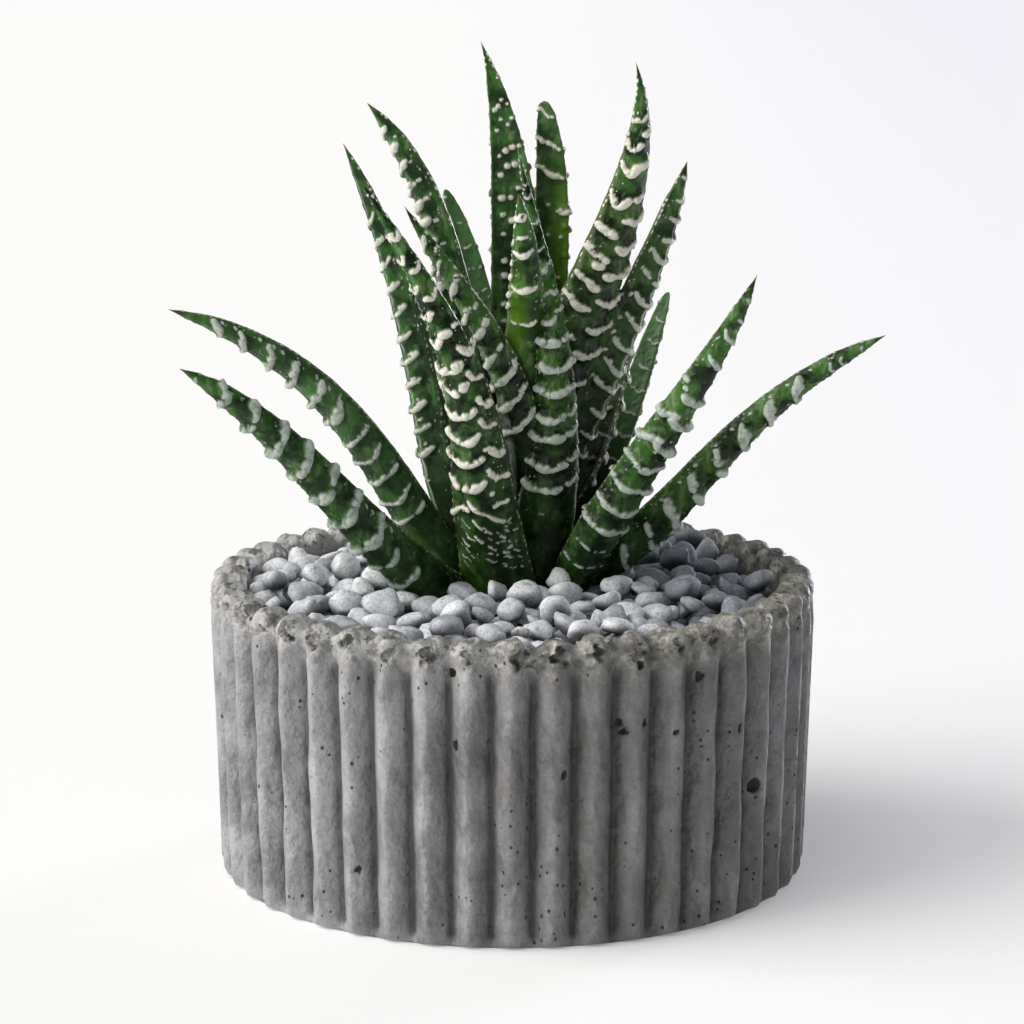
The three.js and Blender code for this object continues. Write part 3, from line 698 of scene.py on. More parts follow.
def pebble_material(look):
    """River-worn stone: matt, cool grey, each pebble of its own shade with fine speckles, with painted
    shade on its underside and on the stones towards the back right.
    """
    material, tree, shader = new_material(
        "worn_pebble", Roughness=0.72, IOR=1.5, Specular_IOR_Level=0.4
    )
    place, reads = surface(tree, "tint", "low")
    noise = lay_patterns(
        tree, place,
        clouds=Pattern(2.4),
        speckle=Pattern(0.36, 3, 0.7),
        flecks=Pattern(0.34, 2),
        stains=Pattern(1.6, roughness=0.7),
    )
    clouds = share_of(tree, (noise["clouds"], 0.35, 0.68, -0.2, 0.2))
    tone = lay_tones(
        tree, look.dark,
        # tint is each stone's own shade, lowered by painted shade towards the back right
        (look.light, add_node(tree, MATH, [reads["tint"], clouds], operation="ADD")[0]),
        (srgb("#6a6e74"), (noise["speckle"], 0.48, 0.64, 0, 0.45)),
        (srgb("#e4e5e6"), (noise["flecks"], 0.56, 0.68, 0, 0.3)),
        (srgb("#555a61"), (noise["stains"], 0.56, 0.7, 0, 0.5)),
        # painted shade on the underside of each stone
        (srgb("#23262a"), reads["low"], 0.85),
    )
    pocks = {"Height": noise["speckle"], "Strength": 0.35, "Distance": 0.12 * MM}
    join(tree, shader, Base_Color=tone, Normal=add_node(tree, "ShaderNodeBump", pocks)[0])
    return material


def leaf_material(look):
    """Succulent leaf: waxy green skin over clear flesh that lets light through, with raised white wax."""
    material, tree, shader = new_material(
        "succulent_leaf", IOR=1.42, Subsurface_Weight=0.1, Subsurface_Scale=0.8 * MM,
        Subsurface_Radius=(0.5, 1.0, 0.25), Specular_IOR_Level=0.28,
    )
    place, reads = surface(
        tree, "along", "olive", "glow", "pale", "wax", "dome", "margin", "cool", "deep", "shade"
    )
    noise = lay_patterns(
        tree, place,
        clouds=Pattern(3.2),
        streaks=Pattern(0.9, 3, up=0.3),
        grain=Pattern(0.4, 3),
        skin=Pattern(0.9, 3),
    )
    clouds = share_of(tree, (noise["clouds"], 0.4, 0.63))
    skin = lay_tones(
        tree, look.deep,
        (look.green, clouds),
        (srgb("#86a272"), (noise["streaks"], 0.46, 0.7), (clouds, 0.1, 0.7, 0.0, 0.5)),
        (look.olive, reads["olive"], (clouds, 0.0, 0.9, 0.35, 1)),
        (look.pale, reads["pale"]),
        # painted shade low down on the leaves and on their inner faces
        (srgb("#0b1e07"), reads["deep"], 0.8),
        # painted glow: lime where light shines through the young flesh
        (look.lime, reads["glow"]),
        (look.tip, (reads["along"], 0.972, 0.996)),
        (srgb("#7c7f5c"), reads["margin"], 0.35),
        (srgb("#0b1707"), reads["shade"]),
    )
    wax = lay_tones(
        tree, look.wax,
        (look.glassy, reads["cool"]),
        (srgb("#8f937a"), (noise["grain"], 0.42, 0.7, 0, 0.5)),
        (srgb("#5f7a5e"), (noise["skin"], 0.45, 0.65), reads["cool"], 0.6),
    )
    # the thin edges of each band are greyer green: green showing through thin wax, and painted shade where
    # the band meets the skin
    wax = lay_tones(
        tree, srgb("#7d8668"),
        (wax, (reads["dome"], 0.1, 0.75)),
        (srgb("#2a3a20"), reads["shade"], 0.25),
    )
    height = add_node(tree, MATH, [noise["skin"], noise["grain"]], operation="ADD")[0]
    pores = {"Height": height, "Strength": 0.35, "Distance": 0.12 * MM}
    join(
        tree, shader,
        Base_Color=lay_tones(tree, skin, (wax, reads["wax"])),
        Roughness=share_of(tree, (reads["wax"], 0, 1, 0.26, 0.5)),
        Normal=add_node(tree, "ShaderNodeBump", pores)[0],
    )
    return material


def rough_material(name, roughness, pattern, limits, low, high, bump):
    """A matt material of two tones whose bumps follow its pattern."""
    material, tree, shader = new_material(name, Roughness=roughness)
    place, _ = surface(tree)
    height = lay_patterns(tree, place, lumps=pattern)["lumps"]
    tone = lay_tones(tree, srgb(low), (srgb(high), (height, *limits)))
    strength, depth = bump
    lumps = {"Height": height, "Strength": strength, "Distance": depth * MM}
    join(tree, shader, Base_Color=tone, Normal=add_node(tree, "ShaderNodeBump", lumps)[0])
    return material


def soil_material():
    """Potting soil: coarse, matt, dark brown crumbs."""
    crumbs = Pattern(1.3, 5, 0.7)
    return rough_material("potting_soil", 0.95, crumbs, (0.35, 0.7), "#1f1a15", "#4a3b2c", (0.9, 0.6))


def stem_material():
    """Root crown: dry papery bark in short rings."""
    rings = Pattern(1.2, up=1.5, sideways=0.3)
    return rough_material("root_crown", 0.85, rings, (0.35, 0.65), "#2c3118", "#56592f", (0.7, 0.3))


# ---------------------------------------------------------------- pot

RIB_STEPS = 16  # columns of points over one rib
WALL_STEPS = 64
TOP_STEPS = 18  # rows over the last bit of wall below the rim, where the wear is
RIM_STEPS = 11

# Distances in mm
TOP_ZONE = 4.5  # the wall below the rim where the ribs' ends round off
RIM_ZONE = 6  # below the top, where the concrete is stained and worn
WALL_REACH = 3  # in from the ribs' crests, what is still the outside
LIP_REACH = 5.2  # in from the ribs' crests, what is still the rim
FOOT_CHAMFER = 1.4
FOOT_INSET = 1.0  # the wall tapers this much towards the foot
RIM_ROUND = 1.9
LIP_ROUND = 1.3
WEAR_SIZE = 3.2  # across a worn patch
CRUMB_SIZE = 0.9
PIT_SPACING = 4.2
WEAR_SEED = 3.0
CLEAN_RIM = 66, 26  # degrees round from the front to the middle of the sounder rim, and to each side

# The larger air holes in the wall: degrees round from the front, height, half-width, half-height
# and depth in mm.
AIR_HOLES = (
    (36.8, 31.7, 0.35, 0.75, 0.7),
    (53.0, 16.1, 0.7, 1.1, 0.9),
    (20.2, 27.2, 0.5, 0.35, 0.6),
    (21.0, 26.1, 0.45, 0.5, 0.7),
    (24.7, 27.2, 0.4, 0.4, 0.6),
    (23.6, 34.3, 0.45, 0.5, 0.6),
    (-11.1, 33.8, 0.35, 0.65, 0.7),
    (-10.4, 25.0, 0.4, 0.7, 0.7),
    (-42.0, 15.9, 0.55, 1.0, 0.45),
    (46.5, 24.5, 0.35, 0.6, 0.5),
    (34.5, 12.6, 0.4, 0.35, 0.6),
    (9.5, 21.5, 0.35, 0.6, 0.4),
    (31.0, 25.5, 0.4, 0.35, 0.5),
    (-30.0, 8.5, 0.35, 0.6, 0.5),
    (95.0, 20.0, 0.5, 0.8, 0.7),
    (128.0, 28.0, 0.4, 0.7, 0.7),
    (160.0, 13.0, 0.5, 0.6, 0.7),
    (-170.0, 24.0, 0.4, 0.8, 0.6),
    (-125.0, 18.0, 0.45, 0.6, 0.6),
    (-88.0, 27.0, 0.35, 0.6, 0.6),
)


def rim_wear(ribs, height):
    """Rotted hollows and drips under the rounded rib ends, in the same terms as the air holes."""
    random = np.random.RandomState(8)
    hollow, drips = [], []
    clean_middle, clean_side = CLEAN_RIM
    for rib in range(ribs):
        degrees = rib * 360 / ribs
        clean = abs((degrees + 180) % 360 - 180 - clean_middle) < clean_side
        scale = random.uniform(0.15, 0.4) if clean else random.uniform(0.55, 1.0)
        hollow.append((
            degrees + random.uniform(-0.3, 1.6), height - random.uniform(1.7, 2.5), 1.15 * scale,
            random.uniform(0.8, 1.7) * scale, 0.95 * scale,
        ))
        for _ in range(2):
            drips.append((
                degrees + random.uniform(-2.2, 1.2), height - random.uniform(1.5, 3.4),
                random.uniform(0.35, 0.6), random.uniform(0.4, 0.9), -0.42 * scale,
            ))
    return hollow, drips


def hollows(holes, turn, top, radius, ragged=0.0):
    """How deep in a hole each point of a ring is, from 0 to 1, and how far it is sunk, in mm."""
    share, sunk = np.zeros(len(turn)), np.zeros(len(turn))
    for degrees, middle, half_width, half_height, depth in holes:
        away = (turn + math.pi / 2 - math.radians(degrees) + math.pi) % (2 * math.pi) - math.pi
        away, above = away * radius, top - middle
        side = (away + ragged * np.sin(above * 4.1 + degrees)) / half_width
        up = (above + ragged * np.sin(away * 3.3 + degrees * 2)) / half_height
        near = np.clip((1 - side**2 - up**2) * 1.6, 0, 1)
        share = np.maximum(share, near)
        sunk += depth * near
    return share, sunk


def pot_profile(look, radius, height):
    """Rings from the foot over the rim to the inner floor: radius, height, rib and notch shares."""
    foot = radius - FOOT_INSET
    inner = radius - look.wall / MM
    rings = [(foot - FOOT_CHAMFER, 0.0, 0.0, 0.0)]
    rings += [(foot - FOOT_CHAMFER * 0.3, FOOT_CHAMFER * 0.3, 0.6, 0.0), (foot, FOOT_CHAMFER, 1.0, 0.0)]
    wall_top = height - RIM_ROUND
    rises = np.concatenate([
        np.linspace(FOOT_CHAMFER, wall_top - TOP_ZONE, WALL_STEPS + 1)[1:],
        np.linspace(wall_top - TOP_ZONE, wall_top, TOP_STEPS + 1)[1:],
    ])
    for rise in rises:
        reach = foot + (radius - foot) * (rise - FOOT_CHAMFER) / (wall_top - FOOT_CHAMFER)
        nearness = max(0.0, 1 - (wall_top - rise) / TOP_ZONE)
        rings.append((reach, rise, 1.0 - 0.45 * nearness**2, 0.55 * nearness))
    for i in range(1, RIM_STEPS + 1):
        turn = math.pi / 2 * i / RIM_STEPS
        reach = radius - RIM_ROUND * (1 - math.cos(turn))
        rise = wall_top + RIM_ROUND * math.sin(turn)
        rings.append((reach, rise, 0.55 - 0.2 * i / RIM_STEPS, 0.55 + 0.45 * i / RIM_STEPS))
    flat_start = radius - RIM_ROUND
    flat_end = inner + LIP_ROUND
    for i in range(1, 7):
        rings.append((flat_start + (flat_end - flat_start) * i / 7, height, 0.35 - 0.05 * i, 1.0))
    for i in range(RIM_STEPS + 1):
        turn = math.pi / 2 * i / RIM_STEPS
        reach = flat_end - LIP_ROUND * math.sin(turn)
        rise = height - LIP_ROUND * 1.6 * (1 - math.cos(turn))
        rings.append((reach, rise, 0.0, 1.0 - 0.5 * i / RIM_STEPS))
    rings += [(inner, height - 4, 0, 0.3), (inner, height - 7, 0, 0), (inner, look.floor / MM, 0, 0)]
    return rings


def pot_tree():
    """Wears a pot: rough and chipped where it is rim, with air holes all over."""
    tree, given = new_tree("Weathered concrete", {
        "Geometry": "Geometry", "Wear": "Float", "Wear size": "Float", "Crumb size": "Float",
        "Pit depth": "Float", "Pit spacing": "Float", "Seed": "Float", "Material": "Material",
    })
    add = partial(add_node, tree)
    share = partial(share_of, tree)
    place = add("GeometryNodeInputPosition")[0]
    normal = add("GeometryNodeInputNormal")[0]
    rim, hole = (
        add("GeometryNodeInputNamedAttribute", {"Name": name}, data_type="FLOAT")["Attribute"]
        for name in ("wear", "hole")
    )
    wear_scale, crumb_scale, pit_scale = (
        add(MATH, [1.0, given[name]], operation="DIVIDE")[0]
        for name in ("Wear size", "Crumb size", "Pit spacing")
    )
    spot = {"Vector": place, "W": given["Seed"]}
    rough, crumbs = (
        add(
            "ShaderNodeTexNoise", {**spot, "Scale": scale, "Detail": 2.0, "Roughness": roughness},
            noise_dimensions="4D",
        )[0]
        for scale, roughness in ((wear_scale, 0.45), (crumb_scale, 0.5))
    )
    pattern = add("ShaderNodeTexVoronoi", {**spot, "Scale": pit_scale}, voronoi_dimensions="4D")
    chosen = add("FunctionNodeSeparateColor", [pattern["Color"]])[0]
    reach = share((chosen, 0.55, 1.0, 0.0, 0.2))
    pit = share((add(MATH, [reach, pattern["Distance"]], operation="SUBTRACT")[0], 0.0, 0.07))
    loss = add(MATH, [share((rough, 0.48, 0.62), 0.8), rough], operation="ADD")[0]
    loss = add(MATH, [loss, share(crumbs, 0.35)], operation="ADD")[0]
    depth = share(loss, rim, given["Wear"])
    for more in (share(rough, 0.12, given["Wear"]), share(pit, given["Pit depth"])):
        depth = add(MATH, [depth, more], operation="ADD")[0]
    offset = add(
        "ShaderNodeVectorMath", {0: normal, "Scale": share(depth, -1.0)}, operation="SCALE"
    )[0]
    geometry = add("GeometryNodeSetPosition", {"Geometry": given["Geometry"], "Offset": offset})[0]
    # the material paints the pits dark as shade, and the chips dark as dirt and shade
    for name, value in (
        ("pit", add(MATH, [pit, hole], operation="MAXIMUM")[0]),
        ("chip", share((loss, 1.1, 1.8), rim)),
    ):
        geometry = add(
            "GeometryNodeStoreNamedAttribute", {"Geometry": geometry, "Name": name, "Value": value},
            data_type="FLOAT", domain="POINT",
        )[0]
    end_tree(tree, geometry, given["Material"])
    return tree


def build_pot(look):
    """The fluted pot as one closed surface."""
    radius, height = POT_TOP.x / MM, POT_TOP.z / MM
    columns = look.ribs * RIB_STEPS
    turn = -math.pi / 2 + np.arange(columns) * 2 * math.pi / columns
    over = (np.arange(columns) / RIB_STEPS + 0.5) % 1 * 2 - 1
    rib_number = np.arange(columns) // RIB_STEPS
    wobble = 0.07 * np.sin(turn * 7 + 1.3) + 0.06 * np.sin(turn * 19 + 0.4)
    drip = 0.5 + 0.3 * np.sin(turn * 23 + 0.7) + 0.2 * np.sin(turn * 61)
    cavities, drips = rim_wear(look.ribs, height)
    from_front = np.abs((turn + math.pi / 2 + math.pi) % (2 * math.pi) - math.pi)
    lumpy = np.clip(1.25 - from_front / 0.9, 0.35, 1)
    deeper = np.clip(0.85 + (from_front - 0.5) / 0.9, 0.85, 1.5)
    rings = []
    kept = {name: [] for name in ("rim", "wear", "valley", "hole", "cavity")}
    for reach, top, rib, notch in pot_profile(look, radius, height):
        sway = 0.07 * np.sin(top * 0.33 + rib_number * 2.4) + 0.035 * np.sin(top * 0.8 + rib_number * 5.3)
        swayed = over + sway * (1 - over**2)
        rise = 0.25 * (1 + np.cos(math.pi * swayed)) + 0.5 * (1 - np.abs(swayed) ** 2.4)
        level = top - look.notch / MM * notch * deeper * (1 - rise) ** 1.3
        outer = reach > radius - WALL_REACH
        spread = reach - look.rib_depth / MM * rib * (1 - rise) + (wobble + 0.05) * min(1, top / 5)
        groove = math.exp(-(((top - height + 2.9) / 0.75) ** 2)) if outer else 0.0
        spread = spread - 0.35 * groove * drip * rise
        pit, sunk = hollows(AIR_HOLES if outer else (), turn, top, radius)
        near_rim = outer and top > height - RIM_ZONE
        cavity, eaten = hollows(cavities if near_rim else (), turn, top, radius, 0.4)
        _, swollen = hollows(drips if near_rim else (), turn, top, radius, 0.2)
        spread = np.minimum(spread - sunk - eaten - swollen, radius - 0.05)
        rings.append(np.stack([spread * np.cos(turn), spread * np.sin(turn), level], -1))
        stained = 1.0 if reach > radius - LIP_REACH else 0.4
        rim = np.clip((level - (height - RIM_ZONE)) / 4, 0, 1) * stained
        # valley, hole and cavity mark the rib valleys, the air holes and the hollows under the rim, which
        # the material paints with shade
        for name, values in zip(kept, (rim, rim * lumpy, (1 - rise) * rib, pit, cavity)):
            kept[name].append(values)
    points = np.concatenate([*rings, [[0, 0, 0], [0, 0, look.floor / MM]]]) * MM
    piece = new_piece("fluted_pot", points, ring_faces(len(rings), columns))
    for name, values in kept.items():
        store(piece, name, np.concatenate([*values, [0, 0]]))
    apply_tree(piece, pot_tree(), {
        "Wear": look.wear,
        "Wear size": WEAR_SIZE * MM,
        "Crumb size": CRUMB_SIZE * MM,
        "Pit depth": look.pits,
        "Pit spacing": PIT_SPACING * MM,
        "Seed": WEAR_SEED,
        "Material": concrete_material(look),
    })
    points = np.array([v.co for v in piece.data.vertices])
    points[:, 2] = np.clip(points[:, 2], 0, POT_TOP.z)
    piece.data.vertices.foreach_set("co", points.astype(np.float32).ravel())
    finish_piece(piece, "concrete", "pot")


# ---------------------------------------------------------------- leaf surfaces


def leaf_stations(leaf, share):
    """Centre, outward and across directions and width of a leaf at shares of its length, in mm."""
    fine = np.linspace(0, 1, 401)[:, None]
    rest = 1 - fine
    guide = np.array(leaf.guide, float)
    curve = (
        rest**3 * guide[0] + 3 * rest**2 * fine * guide[1] + 3 * rest * fine**2 * guide[2]
        + fine**3 * guide[3]
    )
    steps = np.linalg.norm(np.diff(curve, axis=0), axis=1)
    travelled = np.concatenate([[0], np.cumsum(steps)])
    at = travelled / travelled[-1]
    centre = np.stack([np.interp(share, at, curve[:, i]) for i in range(3)], -1)
    slope = np.gradient(curve, at, axis=0)
    along = np.stack([np.interp(share, at, slope[:, i]) for i in range(3)], -1)
    along /= np.linalg.norm(along, axis=-1, keepdims=True)
    face = math.radians(leaf.face)
    look_to = np.array([math.cos(face), math.sin(face), -leaf.dip])
    outward = look_to - (along @ look_to)[..., None] * along
    outward /= np.linalg.norm(outward, axis=-1, keepdims=True)
    across = np.cross(along, outward)
    spread = np.clip(share / NECK_LENGTH, 0, 1)
    spread = leaf.neck + (1 - leaf.neck) * spread * spread * (3 - 2 * spread)
    width = leaf.width * (1 - share**leaf.full) ** leaf.taper * spread
    if not leaf.blunt:
        width = width * (1 - POINT_PULL * np.clip((share - POINT_START) / (1 - POINT_START), 0, 1) ** 2)
    return centre, outward, across, along, width, travelled[-1]


def leaf_surface(leaf, share, place, inner):
    """Points of a leaf's outer or inner face at shares of its length and places across it, in mm."""
    centre, outward, across, along, width, _ = leaf_stations(leaf, share)
    fold = 0.95 * (1.03 - np.sqrt(place**2 + 0.003))
    rounded = 0.9 * np.sqrt(np.clip(1 - place**2, 0, 1))
    edge = np.clip((1 - np.abs(place)) / 0.2, 0, 1)
    keel = leaf.keel * edge
    depth = rounded * (1 - keel) + fold * keel
    depth = np.where(inner, 0.1 * (1 - place**2), depth)
    half = width[..., None] / 2
    return centre + across * place[..., None] * half + outward * (depth[..., None] - SEAT) * half, along


def leaf_skin(name, leaf, step):
    """The bare leaf as one closed surface with the values that its material reads."""
    extent = leaf_stations(leaf, np.array([0.0]))[5]
    rings = int(extent / step)
    outer_columns = int(leaf.width * 1.5 / step)
    inner_columns = int(leaf.width * 0.75 / step)
    share = np.linspace(0, LAST_SECTION, rings)
    turn = np.linspace(-math.pi / 2, math.pi / 2, outer_columns + 1)
    place = np.concatenate([np.sin(turn), np.linspace(1, -1, inner_columns + 1)[1:-1]])
    inner = np.concatenate([np.zeros(outer_columns + 1), np.ones(inner_columns - 1)]) > 0
    grid_share, grid_place = np.meshgrid(share, place, indexing="ij")
    points, along = leaf_surface(leaf, grid_share, grid_place, np.broadcast_to(inner, grid_place.shape))
    centre, _, _, direction, _, _ = leaf_stations(leaf, np.array([0.0, 1.0]))
    columns = len(place)
    skin = np.concatenate([points.reshape(-1, 3), centre]) * MM
    piece = new_piece(name, skin, ring_faces(rings, columns))
    store(piece, "lean", np.concatenate([along.reshape(-1, 3), direction]), "FLOAT_VECTOR")
    lengthwise = np.concatenate([grid_share.ravel(), [0, 1]])
    sideways = np.concatenate([grid_place.ravel(), [0, 0]])
    height = skin[:, 2] / MM
    store(piece, "along", lengthwise * (0.97 if leaf.blunt else 1))
    store(piece, "olive", leaf.olive * np.clip(1.15 - abs(lengthwise - 0.55) / 0.45, 0.3, 1))
    # painted glow of light through the young flesh, stronger on one side of each leaf
    side = np.clip(0.5 - 0.8 * sideways, 0.15, 1)
    store(piece, "glow", leaf.glow * side * np.exp(-(((lengthwise - leaf.glow_at) / 0.16) ** 2)))
    store(piece, "pale", 0 * lengthwise + leaf.pale * 0.7)
    store(piece, "cool", np.clip(leaf.cool + 0.6 * np.clip((0.24 - lengthwise) / 0.12, 0, 1), 0, 1))
    # painted shade: darker low down towards the stem, and more on the inner faces that the other leaves
    # cover
    hidden = np.append(np.where(inner, 1.0, 0.7)[None].repeat(rings, 0).ravel(), [1, 1])
    store(piece, "deep", hidden * np.clip((58 - height) / 18, 0, 1))
    cover = np.clip((0.62 - lengthwise) / 0.35, 0, 1)
    store(piece, "shade", leaf.shade * cover * cover * (3 - 2 * cover))
    store(piece, "margin", np.clip((np.abs(sideways) - 0.93) / 0.07, 0, 1))
    return piece, extent


# ---------------------------------------------------------------- wax bands and beads

# Distances in mm
STROKE_STEP = 0.2  # between the points of a wax ridge
BEAD_SPACING = 1.2
FINE_GIRTH = 0.2  # a thinner band than this is a row of dashes
CUSHION_REACH = 1.7  # how far from a band the skin swells

WAX_EDGE = 0.22  # share of a band's half-thickness over which it thins out
LAST_WAX = 0.97  # share of a leaf's length where its wax ends
FIRST_TOOTH = 4.0  # mm from the base to the first tooth on a margin


class Strokes:
    """Lines on a leaf that its wax follows, with the half-thickness of the wax at each point."""

    def __init__(self, leaf, extent):
        self.leaf = leaf
        self.extent = extent
        self.points = []
        self.girths = []
        self.edges = []

    def add(self, distance, place, girth, inner):
        """Adds a line through places given by distance along the leaf, in mm, and place across."""
        share = np.clip(np.asarray(distance, float) / self.extent, 0.002, 0.985)
        place = np.clip(np.asarray(place, float), -0.99, 0.99)
        points, _ = leaf_surface(self.leaf, share, place, np.full(share.shape, inner))
        start = len(self.girths)
        self.points.extend(points * MM)
        self.girths.extend(np.broadcast_to(girth, share.shape) * MM)
        self.edges.extend((start + i, start + i + 1) for i in range(len(share) - 1))

    def piece(self, name):
        """The lines as a helper object."""
        piece = new_piece(name, np.array(self.points), [], self.edges)
        store(piece, "girth", self.girths)
        return piece


def lay_band(strokes, row, centre, random):
    """One wax band: a ridge with a smooth lower edge and a row of fused beads on its upper one."""
    leaf = strokes.leaf
    share = np.array([np.clip(centre / strokes.extent, 0, LAST_WAX)])
    half = leaf_stations(leaf, share)[4][0] / 2
    jitter = min(0.05, 0.25 * (row.end - row.start))
    start = row.start + random.uniform(-jitter, jitter)
    end = row.end + random.uniform(-jitter, jitter)
    wide = max(0.02, (end - start) * half * 1.25)
    girth = 1.15 * row.girth * min(1.0, 0.35 + half / 3.2)
    count = max(2, int(wide / STROKE_STEP) + 1)
    middle, reach = (start + end) / 2, (end - start) / 2
    slack = random.normal(0, 0.16 if wide > 1 else 0.4)

    def line(place):
        """Distance along the leaf at places across, in mm."""
        t = (place - middle) / reach
        wave = 0.12 * np.sin(t * 4 + centre)
        return centre + slack + row.slant * t / 2 + row.hook * np.abs(t) ** 2.4 + wave * min(1, wide / 2)

    gaps = []
    if wide > 3 and random.random() < 0.4:
        gaps.append(random.uniform(-0.5, 0.5))
    place = np.linspace(start, end, count)
    t = (place - middle) / reach
    keep = np.ones(count, bool)
    for gap in gaps:
        keep &= np.abs(t - gap) > 0.75 * girth * 2 / wide
    if row.girth < FINE_GIRTH and wide > 1:
        dashes = np.sin(t * wide * random.uniform(1.2, 2.2) + random.uniform(0, 6))
        keep &= dashes + np.sin(t * wide * 3.1 + centre * 7) > -0.25
    thick = girth * (0.95 + 0.25 * np.sin(place * half * 2.3 + centre * 3))
    runs = np.split(np.arange(count), np.where(np.diff(keep.astype(int)) != 0)[0] + 1)
    for run in runs:
        if keep[run[0]] and len(run) > 1:
            strokes.add(line(place[run]), place[run], thick[run], row.inner)
    beads = int(wide / BEAD_SPACING)
    if row.bumps < 0.15 or beads < 1:
        return
    for i in range(beads):
        spot = start + (end - start) * (i + 0.5 + random.uniform(-0.25, 0.25)) / beads
        if any(abs((spot - middle) / reach - gap) < 1.1 * girth * 2 / wide for gap in gaps):
            continue
        rise = np.array([0.05, 0.5, 1.0]) * row.bumps * random.uniform(0.0, 0.8)
        size = girth * random.uniform(0.95, 1.25)
        strokes.add(line(spot) + rise, [spot] * 3, size, row.inner)


def lay_margins(strokes, random):
    """Fine wax teeth along both margins."""
    for side in (-1, 1):
        distance = FIRST_TOOTH
        while distance < strokes.extent * LAST_WAX:
            place = side * random.uniform(0.97, 0.99)
            girth = random.uniform(0.07, 0.17)
            strokes.add([distance, distance + random.uniform(0.05, 0.35)], [place, place], girth, False)
            distance += random.choice([0.7, 0.9, 1.2, 2.0]) * random.uniform(0.9, 1.2)


def leaf_strokes(name, leaf, extent, seed):
    """All the wax of one leaf as lines on its surface."""
    random = np.random.RandomState(seed)
    strokes = Strokes(leaf, extent)
    for row in leaf.rows:
        for i in range(row.count):
            centre = row.first + row.pitch * i
            if centre < extent * LAST_WAX:
                lay_band(strokes, row, centre, random)
    lay_margins(strokes, random)
    for _ in range(int(extent * 0.9)):
        spot = random.uniform(5, extent * 0.9)
        place = random.choice([-1, 1]) * random.uniform(0.55, 0.93)
        strokes.add([spot, spot + 0.05], [place, place], random.uniform(0.06, 0.14), False)
    return strokes.piece(name + "_strokes")


def wax_tree():
    """Raises wax over the lines of a helper object: rounded ridges that lean towards the base."""
    tree, given = new_tree("Wax bands", {
        "Geometry": "Geometry", "Strokes": "Object", "Relief": "Float", "Shelf": "Float",
        "Edge": "Float", "Cushion": "Float", "Cushion reach": "Float", "Material": "Material",
    })
    add = partial(add_node, tree)
    share = partial(share_of, tree)
    lines = add(
        "GeometryNodeObjectInfo", {"Object": given["Strokes"]}, transform_space="ORIGINAL"
    )["Geometry"]
    place = add("GeometryNodeInputPosition")[0]
    normal = add("GeometryNodeInputNormal")[0]
    away = add("GeometryNodeProximity", [lines], target_element="EDGES")["Distance"]
    index = add(
        "GeometryNodeSampleNearest", {"Geometry": lines, "Sample Position": place}, domain="POINT"
    )[0]
    girth, lean = (
        add("GeometryNodeInputNamedAttribute", {"Name": name}, data_type=kind)["Attribute"]
        for name, kind in (("girth", "FLOAT"), ("lean", "FLOAT_VECTOR"))
    )
    girth = add(
        "GeometryNodeSampleIndex", {"Geometry": lines, "Value": girth, "Index": index},
        data_type="FLOAT", domain="POINT",
    )[0]
    ratio = add(MATH, [away, girth], operation="DIVIDE")[0]
    inside = add(MATH, [1.0, share(ratio, ratio)], operation="SUBTRACT")[0]
    inside = add(MATH, [inside, 0.0], operation="MAXIMUM")[0]
    dome = add(MATH, [inside, 0.6], operation="POWER")[0]
    wax = share((add(MATH, [1.0, ratio], operation="SUBTRACT")[0], 0.0, given["Edge"]))
    far = add(MATH, [away, given["Cushion reach"]], operation="DIVIDE")[0]
    far = add(MATH, [1.0, far], operation="SUBTRACT")[0]
    cushion = share((far, 0.0, 1.0), girth, given["Cushion"])
    height = add(MATH, [share(dome, girth, given["Relief"]), cushion], operation="ADD")[0]
    back = share(given["Shelf"], -1.0)
    tilted = add("ShaderNodeVectorMath", {0: lean, "Scale": back}, operation="SCALE")[0]
    aim = add("ShaderNodeVectorMath", [normal, tilted], operation="ADD")[0]
    offset = add("ShaderNodeVectorMath", {0: aim, "Scale": height}, operation="SCALE")[0]
    geometry = given["Geometry"]
    for name, value in (("wax", wax), ("dome", dome)):
        geometry = add(
            "GeometryNodeStoreNamedAttribute", {"Geometry": geometry, "Name": name, "Value": value},
            data_type="FLOAT", domain="POINT",
        )[0]
    raised = add("GeometryNodeSetPosition", {"Geometry": geometry, "Offset": offset})[0]
    end_tree(tree, raised, given["Material"])
    return tree


def build_leaves(look):
    """Every leaf of the rosette."""
    tree = wax_tree()
    material = leaf_material(look)
    for seed, (node, leaf) in enumerate(LEAVES.items(), start=11):
        piece, extent = leaf_skin("haworthia_" + node, leaf, look.step / MM)
        lines = leaf_strokes(node, leaf, extent, seed)
        apply_tree(piece, tree, {
            "Strokes": lines,
            "Relief": look.relief,
            "Shelf": look.shelf,
            "Edge": WAX_EDGE,
            "Cushion": look.cushion,
            "Cushion reach": CUSHION_REACH * MM,
            "Material": material,
        })
        discard(lines)
        finish_piece(piece, "leaf", node)


# ---------------------------------------------------------------- pebbles

STONE_KINDS = 12
STONE_STEPS = 4  # squares along an edge of the cube that a stone is rounded from
STONE_FLATS = 9
SETTLE_STEPS = 330
SETTLED_STEPS = 130  # the last steps, in which the stones hardly sink any more
STONE_FLATNESS = 0.74  # how flat the stones lie, as a share of their width
STONE_GAP = 1.09  # how far apart two stones' middles are held, as a share of their half-widths
SINK, SETTLED_SINK = 0.16, 0.012  # how far a stone sinks in one step, in mm
PUSH, SETTLED_PUSH = 0.3, 0.42  # share of an overlap by which two stones are pushed apart in one step


